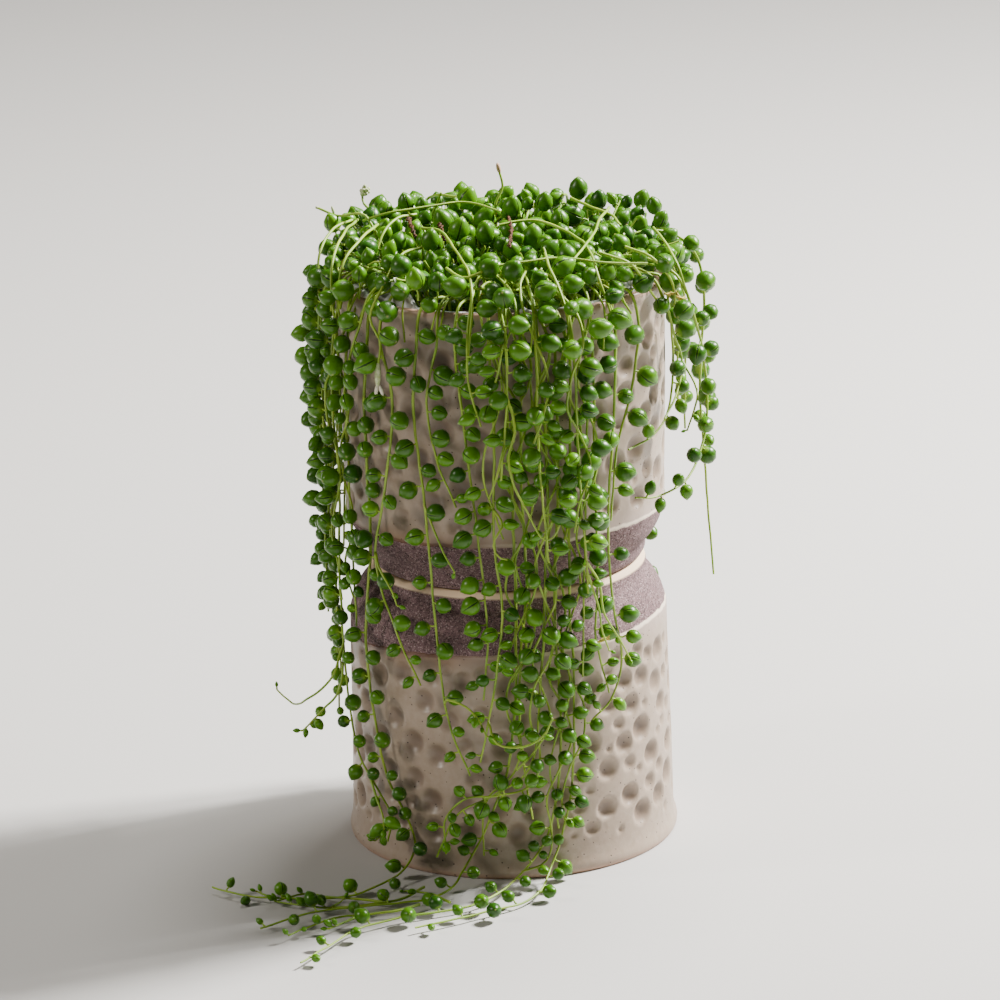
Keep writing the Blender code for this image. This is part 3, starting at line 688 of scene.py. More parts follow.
class Sprig:
    """The stems and pearls of one piece, gathered before its mesh is made."""

    def __init__(self):
        self.lines = []
        self.pearls = []

    def add_stem(self, route, start=STEM, end=STEM_TIP, step=0.0026):
        count = max(3, math.ceil(route.length / step))
        marks = [route.length * index / (count - 1) for index in range(count)]
        points = [route.at(mark) for mark in marks]
        wavy = [point + noise.noise_vector(point * 110) * WAVE for point in points[2:]]
        self.lines.append(([*points[:2], *wavy], start, end))

    def add_pearl(self, foot, ahead, centre, axis, window, radius, tone, stretch=1.0):
        base = centre - axis * radius * 0.97 * stretch
        bow = foot.lerp(base, 0.5) + ahead * (base - foot).length * 0.12
        self.lines.append(([foot, bow, base], STEM * 0.62, STEM * 0.5))
        self.pearls.append((centre, axis, window, radius, tone, stretch))

    def build(self, name, *nodes):
        bm = tubes(self.lines, material_index=1)
        place = bm.verts.layers.float_vector.new("pearl_place")
        shade = bm.verts.layers.float.new("tone")
        for pearl in self.pearls:
            grow_pearl(bm, place, shade, *pearl)
        piece = piece_from(bm, name, PEARL_SKIN, STEM_SKIN)
        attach(piece, "root")
        if nodes:
            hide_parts(*nodes)


def spindle(bm, start, end, radius, material_index=0):
    """A bud shape between two points, thickest at its middle."""
    along = end - start
    turned = along.to_track_quat("Z", "Y").to_matrix().to_4x4()
    sized = Matrix.Diagonal((radius, radius, along.length / 2, 1))
    shape = Matrix.Translation((start + end) / 2) @ turned @ sized
    ball = bmesh.ops.create_uvsphere(bm, u_segments=8, v_segments=6, radius=1, matrix=shape)["verts"]
    for face in {face for vert in ball for face in vert.link_faces}:
        face.material_index = material_index


def grow_pearl(bm, place, shade, centre, axis, window, radius, tone, stretch):
    """One pearl: a sphere drawn out to a point along its axis, with its slit on the window side."""
    side = square_to(axis, window)
    turned = Matrix((side, axis.cross(side), axis)).transposed()
    ball = bmesh.ops.create_uvsphere(bm, u_segments=PEARL_SIDES, v_segments=PEARL_RINGS, radius=1)
    for vert in ball["verts"]:
        x, y, z = vert.co
        vert[place] = (x, y, z)
        vert[shade] = tone
        point = POINT_LENGTH * max(0.0, (z - POINT_FROM) / (1 - POINT_FROM)) ** 5
        slim = 1 - 0.22 * max(0.0, z) ** 4
        vert.co = centre + turned @ Vector((x * slim, y * slim, (z + point) * stretch)) * radius


def outward(point):
    """The direction out of the plant: sideways, but upwards on the bed and on the surface."""
    out = Vector(((point - AXIS).x, (point - AXIS).y, 0)).normalized()
    lift = LIFT_OPEN if point.z > RIM or point.z < NEAR_SURFACE else LIFT_BESIDE
    return (out + Vector((0, 0, lift))).normalized()


def pearl_size(draw, height):
    """A pearl's radius: the ones near the crown are older and larger."""
    grown = min(1.0, height / RIM)
    return (PEARL_LOW + (PEARL_HIGH - PEARL_LOW) * grown) * draw.uniform(*PEARL_SPREAD)


def set_pearls(sprig, route, draw, room, first, spacing=PEARL_SPACING, bare=0.0015,
               growing=0.028, thin=1.0):
    """Sets pearls along a stem, on one side and then the other, wherever there is room. They are
    younger over its last stretch, and none are on its bare end."""
    hand = draw.choice((-1, 1))
    mark = first
    while mark < route.length - bare:
        foot = route.at(mark)
        ahead = route.direction(mark)
        out = square_to(ahead, outward(foot))
        young = max(0.0, 1 - (route.length - bare - mark) / growing)
        radius = pearl_size(draw, foot.z) * (1 - 0.42 * young)
        tone = clamped(draw.gauss(0.34, 0.20) + 0.35 * young)
        stalk = draw.uniform(*PEARL_STALK)
        for turn in PEARL_TRIES:
            spoke = Matrix.Rotation(math.radians(turn * hand + draw.gauss(0, 7)), 3, ahead) @ out
            axis = (spoke + ahead * draw.uniform(0.05, 0.5)).normalized()
            centre = foot + spoke * (STEM + stalk) + axis * radius
            if room.fits(centre, radius):
                window = (out * 0.8 - ahead * 0.3 + scatter(draw, 0.5)).normalized()
                stretch = 1.0 + 0.28 * young + draw.uniform(-0.04, 0.05)
                sprig.add_pearl(foot, ahead, centre, axis, window, radius, tone, stretch)
                room.add_pearl(centre, radius)
                break
        hand = -hand
        apart = thin if foot.z > THIN_ABOVE else LYING_APART if foot.z < LYING else 1.0
        mark += draw.uniform(*spacing) * (1 - 0.2 * young) * apart


# The long stems root near the pot's edge, climb over the rim and hang down round the planters.
# A few reach the surface and trail over it. Each runs on one of three nested bells, so that
# stems of different bells never cross: root radius, height over the rim, hanging radius.
CREST_RADIUS = 0.0585
BELLS = ((0.0490, 0.0027, 0.0675), (0.0455, 0.0068, 0.0705), (0.0420, 0.0110, 0.0810))
FLOOR_STEM = 0.0026
# Each stem: its bell, its root's angle, and the angles in degrees and heights that it passes.
# Angle 0 is the front, and 90 is the side at +X.
LEFT_STEMS = (
    (0, -66, ((-67, 0.212), (-66, 0.187), (-69, 0.165))),
    (0, -57, ((-59, 0.212), (-62, 0.180), (-61, 0.131), (-60, 0.094))),
    (1, -56, ((-62, 0.216), (-67, 0.185), (-64, 0.150), (-66, 0.112), (-64, 0.076),
              (-58, 0.045), (-46, 0.030), (-42, 0.022), (-44, 0.012))),
    (1, -44, ((-49, 0.216), (-55, 0.200), (-60, 0.178))),
    (1, -34, ((-40, 0.216), (-36, 0.190), (-40, 0.155), (-45, 0.126), (-38, 0.100), (-29, 0.079))),
    (0, -22, ((-28, 0.212), (-30, 0.190), (-27, 0.150), (-24, 0.100), (-21, 0.066), (-14, 0.043))),
    (0, -17, ((-21, 0.212), (-25, 0.192), (-22, 0.168), (-16, 0.150))),
    (0, -12, ((-15, 0.212), (-12, 0.172), (-9, 0.135), (-7, 0.100), (-9, 0.074))),
    (1, -70, ((-77, 0.216), (-79, 0.190), (-77, 0.150))),
    (0, -80, ((-80, 0.212), (-78, 0.150), (-80, 0.105), (-77, 0.070))),
    (0, -95, ((-95, 0.212), (-92, 0.150), (-95, 0.100), (-90, 0.048))),
    (1, -90, ((-91, 0.216), (-90, 0.160), (-88, 0.090))),
)
CENTRE_STEMS = (
    (2, -7, ((-9, 0.214), (-9, 0.203), (-6, 0.186))),
    (1, -1, ((-4, 0.216), (-3, 0.180), (-4, 0.140), (-2, 0.110), (-5, 0.080), (-10, 0.050))),
    (0, 4, ((6, 0.212), (5, 0.160), (6, 0.120), (3, 0.085), (3, 0.055), (6, 0.026))),
    (1, 10, ((11, 0.216), (13, 0.160), (11, 0.112), (9, 0.075), (5, 0.047), (-6, 0.037),
             (-18, 0.028), (-25, 0.010))),
    (0, 27, ((30, 0.212), (30, 0.160), (30, 0.112), (29, 0.096), (34, 0.072))),
    (1, 34, ((37, 0.216), (36, 0.185), (33, 0.140), (34, 0.110), (37, 0.085), (33, 0.071),
             (26, 0.064))),
    (0, 44, ((50, 0.212), (46, 0.190), (39, 0.168), (36, 0.140))),
    (2, 3, ((1, 0.214), (1, 0.195), (-1, 0.165))),
    (2, 10, ((9, 0.214), (9, 0.175), (11, 0.132))),
    (2, 19, ((19, 0.214), (20, 0.165), (22, 0.118))),
    (1, 25, ((26, 0.216), (26, 0.170), (24, 0.120), (23, 0.082))),
)
RIGHT_STEMS = (
    (0, 64, ((72, 0.212), (75, 0.190), (68, 0.174), (57, 0.168), (44, 0.166))),
    (1, 56, ((63, 0.216), (68, 0.205), (77, 0.190), (70, 0.181), (60, 0.174))),
    (2, 58, ((64, 0.214), (74, 0.184), (70, 0.164), (59, 0.153), (46, 0.150), (37, 0.152))),
    (2, 97, ((104, 0.214), (108, 0.172), (105, 0.140), (100, 0.112), (95, 0.098))),
    (0, 84, ((86, 0.212), (87, 0.172))),
    (1, 88, ((93, 0.216), (95, 0.158))),
)
# The trailing stems also pass points on the surface, as X and Y from the planters' axis.
TRAILING_STEMS = (
    (0, -46, ((-48, 0.212), (-51, 0.180), (-50, 0.130), (-54, 0.098), (-53, 0.072), (-46, 0.038),
              (-35, 0.010)), ((-0.060, -0.081), (-0.086, -0.084), (-0.104, -0.080), (-0.116, -0.070))),
    (0, -3, ((0, 0.212), (2, 0.160), (2, 0.090), (-1, 0.050), (-8, 0.026), (-15, 0.009)),
     ((-0.028, -0.084), (-0.050, -0.093), (-0.074, -0.098), (-0.096, -0.114))),
    (0, 15, ((17, 0.212), (17, 0.160), (15, 0.112), (16, 0.060), (13, 0.028), (6, 0.009)),
     ((-0.014, -0.094), (-0.044, -0.107), (-0.060, -0.118), (-0.070, -0.134), (-0.080, -0.149))),
    (0, 21, ((22, 0.212), (21, 0.160), (20, 0.112), (21, 0.080), (19, 0.035), (13, 0.009)),
     ((0.006, -0.090), (-0.016, -0.106), (-0.038, -0.118))),
)
BACK_STEMS = 10
BACK_ANGLES = (128, 244)
BACK_ENDS = (0.022, 0.120)
BACK_DRIFT = 3.0
BACK_SEED = 31
# How many further stems wind along each of the crowded ones.
COMPANY = {2: 1, 3: 1, 10: 1, 11: 1, 14: 1, 15: 2, 16: 2, 20: 1, 21: 1, 22: 1, 23: 1, 31: 1, 32: 2,
           33: 1, 35: 1, 38: 2, 40: 1, 43: 1}
# Each starts this far under the rim and opens to its gap over a short way. Its knots are a step
# apart, and it turns about the first stem by this many radians in a metre.
COMPANY_START = 0.004
COMPANY_GAP = 0.0030
COMPANY_OPENS = 0.020
COMPANY_STEP = 0.012
COMPANY_TWIST = (90, 150)
# Stems whose last stretch has no pearls yet, and its length.
BARE_ENDS = {27: 0.046}
# Stems that carry fewer pearls above this height, where the wall shows between them.
THIN_STEMS = (17, 18, 19, 24, 25, 29)
THIN_ABOVE = 0.125
THIN_APART = 1.9


def round_axis(angle, radius, height):
    """The point at this angle in degrees from the front, radius and height."""
    turned = math.radians(angle)
    return AXIS + Vector((radius * math.sin(turned), -radius * math.cos(turned), height))


def hanging_knots(bell, root_angle, passes, trail=()):
    """A stem's knots: up from the soil, over the rim, down past each point, and over the surface."""
    root, rise, hang = BELLS[bell]
    first_angle = passes[0][0]
    crest_angle = (root_angle + first_angle) / 2
    rising_angle = root_angle * 0.7 + crest_angle * 0.3
    falling_angle = first_angle * 0.7 + crest_angle * 0.3
    knots = [
        round_axis(root_angle, root, SOIL - PEG_DEPTH),
        round_axis(root_angle, root, SOIL + 0.002),
        round_axis(rising_angle, root + 0.0015 + rise * 0.27, RIM + rise * 0.68),
        round_axis(crest_angle, CREST_RADIUS, RIM + rise + 0.0008),
        round_axis(falling_angle, hang - 0.0013 - rise / 2, RIM + rise * 0.48),
    ]
    knots += [round_axis(angle, hang, height) for angle, height in passes]
    knots += [AXIS + Vector((x, y, FLOOR_STEM)) for x, y in trail]
    return knots


def back_rows():
    """The far side's stems, spread evenly with some drift."""
    draw = random.Random(BACK_SEED)
    first, last = BACK_ANGLES
    for index in range(BACK_STEMS):
        angle = first + (last - first) * index / (BACK_STEMS - 1)
        end = draw.uniform(*BACK_ENDS)
        bell = (0, 1, 0, 2)[index % 4]
        drift = [draw.uniform(-BACK_DRIFT, BACK_DRIFT) for _ in range(3)]
        heights = (0.210, (0.210 + end) / 2, end)
        yield bell, angle, tuple((angle + off, height) for off, height in zip(drift, heights))


room = Room()
stem_rows = [*LEFT_STEMS, *CENTRE_STEMS, *RIGHT_STEMS, *TRAILING_STEMS, *back_rows()]
stem_routes = [Route(hanging_knots(*row)) for row in stem_rows]
for route in stem_routes:
    room.add_stem(route)
draw = random.Random(23)
company = []
for index, route in enumerate(stem_routes, 1):
    beside = [route.beside(draw, draw.uniform(0.6, 1.0), COMPANY_GAP)
              for _ in range(COMPANY.get(index, 0))]
    company.append([made for made in beside if made])
    for made in company[-1]:
        room.add_stem(made)
for index, (route, beside) in enumerate(zip(stem_routes, company), 1):
    sprig = Sprig()
    sprig.add_stem(route)
    set_pearls(sprig, route, draw, room, draw.uniform(0.012, 0.018),
               bare=BARE_ENDS.get(index, 0.0015), thin=THIN_APART if index in THIN_STEMS else 1.0)
    for made in beside:
        sprig.add_stem(made, STEM * 0.9)
        set_pearls(sprig, made, draw, room, first=0.004)
    sprig.build(f"pearl_stem_{index:02}", f"strand_{index:02}")

# The crown is a thicket of short shoots that rise from the soil and arch outwards. Their pearls
# are packed so closely that little soil shows, and some shoots just reach over the rim. Longer
# bare stems lie across it on their way to the hanging ones.
TUFT_RING = 0.0262
TUFTS_AROUND = 6
# The crown's height in its middle, how much lower it is at its radius, and how much of that fall
# is lost as far behind the axis as this.
CROWN_TOP = 0.2440
CROWN_FALL = 0.0060
CROWN_RADIUS = 0.0690
FALL_LOST = 0.75
FAR_BEHIND = 0.035
SHOOT_GAP = 0.0115
SHOOT_TRIES = 1500
SHOOT_SPACING = (0.0060, 0.0085)
# How many ways a shoot has to find a path between the pearls. It isn't grown if all are blocked.
SHOOT_PATHS = 16
# Further pearls fill the gaps, on stalks of their own, down to this depth under the surface.
FILL_TRIES = 4600
FILL_DEPTH = 0.0130
FILL_STALK = 0.0050
# Gaps in the growth, which show the nursery pot's crumpled lip and then the planter's lip.
GAPS = ((-46, 0.0620, 0.2335), (-42, 0.0680, 0.2350), (-39, 0.0750, 0.2375), (-35, 0.0830, 0.2400),
        (-64, 0.0670, 0.2240), (-58, 0.0690, 0.2260), (-53, 0.0730, 0.2290), (-48, 0.0780, 0.2310))
GAP_SIZE = 0.0038
# The largest pearls stand up out of the crown: X and Y from the planters' axis, height, radius,
# and how far each leans to the right.
LARGE_PEARLS = (
    (0.0316, 0.0450, 0.2450, 0.0040, 0.0), (0.0391, 0.0280, 0.2445, 0.0035, 0.1),
    (0.0499, 0.0258, 0.2440, 0.0024, 0.2), (0.0558, 0.0314, 0.2435, 0.0034, 0.3),
    (0.0603, 0.0220, 0.2430, 0.0032, -0.2), (0.0624, 0.0101, 0.2405, 0.0031, 0.5),
    (0.0180, 0.0250, 0.2450, 0.0035, 0.2), (0.0115, 0.0253, 0.2445, 0.0024, 0.3),
    (0.0054, 0.0185, 0.2450, 0.0038, 0.2), (-0.0119, 0.0340, 0.2450, 0.0042, 0.4),
    (-0.0356, 0.0310, 0.2448, 0.0034, -0.2), (-0.0293, 0.0300, 0.2440, 0.0027, 0.0),
    (-0.0168, 0.0262, 0.2445, 0.0024, 0.2), (-0.0211, -0.0009, 0.2448, 0.0042, -0.3),
    (-0.0150, -0.0153, 0.2448, 0.0042, 0.3), (-0.0051, -0.0217, 0.2448, 0.0038, 0.2),
    (-0.0640, 0.0220, 0.2395, 0.0035, -0.3), (-0.0258, -0.0282, 0.2442, 0.0038, 0.2),
    (-0.0313, -0.0620, 0.2380, 0.0038, -0.1),
)
RIM_SHOOTS = 48
RIM_SHOOT_ENDS = (0.2100, 0.2200)
# How far out the rim shoots hang, by angle. They reach out over the hanging stems.
RIM_REACH = ((-180, 0.0672), (-14, 0.0672), (-6, 0.0820), (30, 0.0820), (40, 0.0680), (62, 0.0690),
             (110, 0.0680), (130, 0.0672), (180, 0.0672))
# Each bare stem: angles from the front, radii and heights that it passes.
CROSSING_STEMS = (
    ((-110, 0.060, 0.2410), (-96, 0.0645, 0.2405), (-84, 0.0690, 0.2340), (-80, 0.0700, 0.2200)),
    ((-105, 0.056, 0.2425), (-86, 0.0590, 0.2420), (-68, 0.0680, 0.2350), (-66, 0.0700, 0.2180)),
    ((-90, 0.046, 0.2440), (-74, 0.0530, 0.2435), (-63, 0.0650, 0.2380), (-61, 0.0700, 0.2240),
     (-60, 0.0690, 0.2120)),
    ((-112, 0.034, 0.2445), (-97, 0.0390, 0.2450), (-84, 0.0440, 0.2420), (-78, 0.0480, 0.2350)),
    ((-44, 0.042, 0.2420), (-45, 0.0520, 0.2410), (-41, 0.0680, 0.2310), (-43, 0.0715, 0.2210),
     (-40, 0.0710, 0.2140)),
    ((-75, 0.030, 0.2440), (-52, 0.0280, 0.2450), (-22, 0.0450, 0.2445), (-10, 0.0640, 0.2390),
     (-8, 0.0770, 0.2270), (-9, 0.0800, 0.2120)),
    ((-20, 0.058, 0.2400), (-12, 0.0650, 0.2385), (-8, 0.0640, 0.2395), (-1, 0.0590, 0.2415),
     (11, 0.0570, 0.2420), (25, 0.0570, 0.2420), (36, 0.0640, 0.2400), (49, 0.0730, 0.2380)),
    ((108, 0.045, 0.2450), (81, 0.0400, 0.2465), (45, 0.0480, 0.2440), (27, 0.0600, 0.2410)),
    ((2, 0.010, 0.2450), (56, 0.0140, 0.2460), (60, 0.0230, 0.2450), (50, 0.0370, 0.2435),
     (39, 0.0540, 0.2420), (33, 0.0680, 0.2350), (36, 0.0710, 0.2180)),
    ((135, 0.040, 0.2455), (110, 0.0370, 0.2460), (90, 0.0430, 0.2455), (76, 0.0480, 0.2440)),
    ((78, 0.060, 0.2430), (68, 0.0680, 0.2400), (61, 0.0770, 0.2330), (63, 0.0800, 0.2200)),
    ((52, 0.060, 0.2420), (55, 0.0700, 0.2380), (61, 0.0740, 0.2270), (66, 0.0720, 0.2120)),
    ((40, 0.058, 0.2420), (48, 0.0660, 0.2370), (55, 0.0690, 0.2250), (62, 0.0690, 0.2170)),
    ((20, 0.050, 0.2430), (17, 0.0640, 0.2400), (18, 0.0760, 0.2300), (19, 0.0800, 0.2140)),
    ((150, 0.050, 0.2430), (155, 0.0640, 0.2390), (158, 0.0720, 0.2250)),
    ((-160, 0.046, 0.2435), (-155, 0.0640, 0.2400), (-152, 0.0730, 0.2240)),
    ((-106, 0.054, 0.2420), (-101, 0.0440, 0.2460), (-112, 0.0310, 0.2475), (-142, 0.0200, 0.2480),
     (172, 0.0080, 0.2460)),
    ((-135, 0.037, 0.2400), (-137, 0.0350, 0.2445), (-138, 0.0325, 0.2500)),
)


def crown_height(place):
    """The height of the crown's surface over this place. It falls away less behind the axis."""
    flat = place - AXIS
    behind = clamped(flat.y / FAR_BEHIND)
    return CROWN_TOP - CROWN_FALL * (1 - FALL_LOST * behind) * (flat.xy.length / CROWN_RADIUS) ** 4


def nearest_tuft(point):
    """The number of the tuft that this point is nearest to."""
    places = [Vector((0, 0)), *((round_axis(360 * index / TUFTS_AROUND, TUFT_RING, 0) - AXIS).xy
                                for index in range(TUFTS_AROUND))]
    return min(range(len(places)), key=lambda index: (places[index] - (point - AXIS).xy).length)


crown = [Sprig() for _ in range(1 + TUFTS_AROUND)]
draw = random.Random(5)
for row in CROSSING_STEMS:
    route = Route([round_axis(*knot) for knot in row])
    room.add_stem(route)
    crown[nearest_tuft(route.at(route.length / 2))].add_stem(route, STEM * 0.92, STEM * 0.75)

for place in GAPS:
    room.add_pearl(round_axis(*place), GAP_SIZE)
for x, y, height, radius, lean in LARGE_PEARLS:
    centre = AXIS + Vector((x, y, height))
    axis = Vector((lean, -0.2, 1)).normalized()
    foot = centre - axis * (radius + FILL_STALK)
    window = Vector((draw.gauss(0, 0.8), -0.6, 0.4))
    tone = clamped(draw.gauss(0.45, 0.20))
    crown[nearest_tuft(centre)].add_pearl(foot, window, centre, axis, window, radius, tone, 1.08)
    room.add_pearl(centre, radius)
tips = []
for _ in range(SHOOT_TRIES):
    radius = CROWN_RADIUS * math.sqrt(draw.random())
    tip = round_axis(draw.uniform(-180, 180), radius, 0)
    tip.z = crown_height(tip) - draw.uniform(0.0015, 0.0050)
    if all((tip - other).length > SHOOT_GAP for other in tips):
        tips.append(tip)
for tip in tips:
    flat = tip - AXIS
    radius = flat.xy.length
    angle = math.degrees(math.atan2(flat.x, -flat.y))
    for _ in range(SHOOT_PATHS):
        lean = draw.uniform(-25, 25) if radius > 0.02 else draw.uniform(-90, 90)
        root_radius = min(radius * 0.72, 0.046)
        root = round_axis(angle + lean, root_radius, SOIL - 0.003)
        knee_height = max(SOIL + 0.011, min(tip.z - 0.007, RIM + 0.004))
        knee = round_axis(angle + lean * 0.6, (root_radius + min(radius, 0.050)) / 2, knee_height)
        route = Route([root, knee, tip])
        if room.clears(route):
            sprig = crown[nearest_tuft(tip)]
            sprig.add_stem(route, STEM * 0.72)
            set_pearls(sprig, route, draw, room, 0.010, spacing=SHOOT_SPACING, growing=0.004)
            break

for index in range(RIM_SHOOTS):
    for _ in range(SHOOT_PATHS):
        angle = 360 * index / RIM_SHOOTS + draw.uniform(-3.5, 3.5)
        turn = draw.uniform(-8, 8)
        rise = draw.uniform(0.0030, 0.0110)
        reach = np.interp((angle + 180) % 360 - 180, *zip(*RIM_REACH))
        hang = reach + draw.uniform(-0.0015, 0.0035)
        knots = [
            round_axis(angle - turn, 0.0460, SOIL - 0.003),
            round_axis(angle - turn * 0.5, 0.0500, RIM + rise * 0.6),
            round_axis(angle, 0.0590, RIM + rise + 0.0008),
            round_axis(angle + turn * 0.5, hang - 0.0015 - rise / 4, RIM + rise * 0.3),
            round_axis(angle + turn, hang, draw.uniform(*RIM_SHOOT_ENDS)),
        ]
        route = Route(knots)
        if room.clears(route):
            room.add_stem(route)
            sprig = crown[nearest_tuft(knots[2])]
            sprig.add_stem(route, STEM * 0.68)
            set_pearls(sprig, route, draw, room, 0.014, spacing=SHOOT_SPACING, growing=0.006)
            break

for _ in range(FILL_TRIES):
    out = CROWN_RADIUS * math.sqrt(draw.random())
    centre = round_axis(draw.uniform(-180, 180), out, 0)
    centre.z = crown_height(centre) - 0.003 - FILL_DEPTH * draw.random() ** 2
    radius = pearl_size(draw, centre.z) * draw.uniform(0.85, 1.20)
    if room.fits(centre, radius):
        away = outward(centre) if out > 0.045 else Vector((0.2, 0, 1))
        axis = (away + scatter(draw, 0.55)).normalized()
        foot = centre - axis * (radius + FILL_STALK) - Vector((0, 0, 0.002))
        ahead = scatter(draw, 1).normalized()
        tone = clamped(draw.gauss(0.42, 0.20))
        stretch = 1.2 if draw.random() < 0.08 else draw.uniform(0.96, 1.06)
        window = (Vector((0, 0, 0.8)) + away * 0.5 + ahead * 0.6).normalized()
        crown[nearest_tuft(centre)].add_pearl(foot, ahead, centre, axis, window, radius, tone, stretch)
        room.add_pearl(centre, radius)
for index, sprig in enumerate(crown, 1):
    sprig.build(f"crown_shoots_{index:02}", f"crown_{index:02}")

# Two flower stalks stand above the crown. One ends in a single papery bud and the other in a
# curled cluster of pale scales. A bare tendril lies out over the crown's edge beside them.
FLOWER_STALKS = (
    ((0.001, 0.041), ((-0.001, 0.042, 0.2400), (0.002, 0.044, 0.2470), (0.001, 0.045, 0.2525))),
    ((-0.036, 0.021), ((-0.046, 0.028, 0.2390), (-0.0520, 0.033, 0.2445), (-0.0525, 0.035, 0.2475))),
    ((-0.043, 0.006), ((-0.050, 0.012, 0.2435), (-0.062, 0.022, 0.2425), (-0.0695, 0.029, 0.2440))),
)
# The buds' lengths and radii. Each starts a little before its stalk's end.
PAPER_BUD_SIZE = (0.0040, 0.0009)
CLUSTER_SIZE = (0.0032, 0.0013)
TENDRIL_TIP = (0.0016, 0.0006)
BUD_SINK = 0.0004
SCALES = 10
SCALE_LEAN = Vector((0.62, 0, 0.78))


def dry_skin(name, colour, dark):
    """Papery dry skin in two tones, with fine streaks."""
    material, tree, shader = new_material(name, Roughness=0.65, Specular_IOR_Level=0.25)
    tree.links.new(colours(tree, mottle(tree, 900, 2.0), dark, colour), shader.inputs["Base Color"])
    return material


PAPER_BUD = dry_skin("paper_bud", (0.66, 0.47, 0.33), (0.40, 0.22, 0.14))
PALE_SCALE = dry_skin("pale_scale", (0.62, 0.66, 0.42), (0.34, 0.42, 0.17))
for index, ((x, y), passes) in enumerate(FLOWER_STALKS, 1):
    knots = [AXIS + Vector((x, y, SOIL - PEG_DEPTH)), AXIS + Vector((x, y, SOIL + 0.002))]
    knots += [AXIS + Vector(point) for point in passes]
    route = Route(knots)
    line = [route.at(mark) for mark in np.linspace(0, route.length, 26)]
    bm = tubes([(line, STEM * 0.95, STEM_TIP * 1.2)], material_index=1)
    end, ahead = route.at(route.length), route.direction(route.length)
    length, radius = (PAPER_BUD_SIZE, CLUSTER_SIZE, TENDRIL_TIP)[index - 1]
    if index != 2:
        spindle(bm, end - ahead * BUD_SINK, end + ahead * length, radius)
    else:
        spindle(bm, end - SCALE_LEAN * BUD_SINK * 2, end + SCALE_LEAN * length, radius)
        for scale in range(SCALES):
            spoke = Matrix.Rotation(scale * 2.4, 3, SCALE_LEAN) @ SCALE_LEAN.orthogonal().normalized()
            foot = end + SCALE_LEAN * 0.00028 * scale + spoke * 0.0008
            spindle(bm, foot, foot + (spoke * 0.6 + SCALE_LEAN) * 0.0015, 0.00075)
    if index == 3:
        side = route.at(route.length * 0.86)
        spindle(bm, side, side + Vector((-0.0010, 0, 0.0036)), radius)
    stalk = piece_from(bm, f"flower_stem_{index}", PAPER_BUD if index == 1 else PALE_SCALE, STEM_SKIN)
    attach(stalk, "root")
    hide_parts(f"flower_stalk_{index}")

# Side shoots leave the hanging bundles here and there. They curl where they find no hold, and the
# youngest end in tiny buds.
# Each: the stem it leaves, at what height, the points that it passes as angle, radius and
# height, and how many buds it has.
SIDE_SHOOTS = (
    (20, 0.196, ((3, 0.0835, 0.1850), (1, 0.0860, 0.1760), (2, 0.0870, 0.1650),
                 (5, 0.0870, 0.1550), (8, 0.0870, 0.1450), (10, 0.0870, 0.1425),
                 (12, 0.0870, 0.1445), (13, 0.0870, 0.1480)), 0),
    (20, 0.176, ((-2, 0.0850, 0.1680), (-4, 0.0870, 0.1600)), 0),
    (14, 0.148, ((-1, 0.0790, 0.1465), (-3, 0.0820, 0.1430), (-3.5, 0.0825, 0.1390),
                 (-2, 0.0825, 0.1355), (0, 0.0820, 0.1345)), 0),
    (6, 0.146, ((-21, 0.0735, 0.1400), (-18, 0.0760, 0.1340), (-15, 0.0770, 0.1280)), 1),
    (3, 0.085, ((-62, 0.0780, 0.0740), (-72, 0.0830, 0.0620), (-83, 0.0850, 0.0550),
                (-89, 0.0880, 0.0540), (-93, 0.0920, 0.0560)), 1),
    (3, 0.080, ((-58, 0.0780, 0.0700), (-63, 0.0810, 0.0620), (-68, 0.0830, 0.0550),
                (-73, 0.0850, 0.0490)), 5),
    (3, 0.036, ((-43, 0.0755, 0.0280), (-40, 0.0775, 0.0240), (-40, 0.0785, 0.0190),
                (-43, 0.0785, 0.0150)), 7),
    (6, 0.072, ((-18, 0.0745, 0.0760), (-13, 0.0770, 0.0745), (-9, 0.0790, 0.0700),
                (-7, 0.0795, 0.0640)), 3),
    (14, 0.064, ((-4, 0.0780, 0.0605), (3, 0.0815, 0.0600), (8, 0.0820, 0.0640),
                 (11, 0.0810, 0.0700)), 2),
    (22, 0.128, ((25, 0.0815, 0.1210), (26, 0.0810, 0.1100), (29, 0.0800, 0.1030),
                 (32, 0.0795, 0.0960), (35, 0.0790, 0.0890)), 2),
    (22, 0.124, ((24, 0.0825, 0.1140), (25, 0.0825, 0.1040), (27, 0.0820, 0.0950)), 1),
    (5, 0.128, ((-40, 0.0750, 0.1240), (-35, 0.0770, 0.1180), (-33, 0.0770, 0.1120)), 2),
    (25, 0.190, ((72, 0.0780, 0.1820), (66, 0.0790, 0.1760), (62, 0.0790, 0.1700)), 2),
    (37, 0.120, ((170, 0.0780, 0.1080), (176, 0.0800, 0.0990), (182, 0.0800, 0.0950)), 3),
    (41, 0.140, ((212, 0.0770, 0.1290), (208, 0.0790, 0.1210), (203, 0.0790, 0.1170)), 2),
)
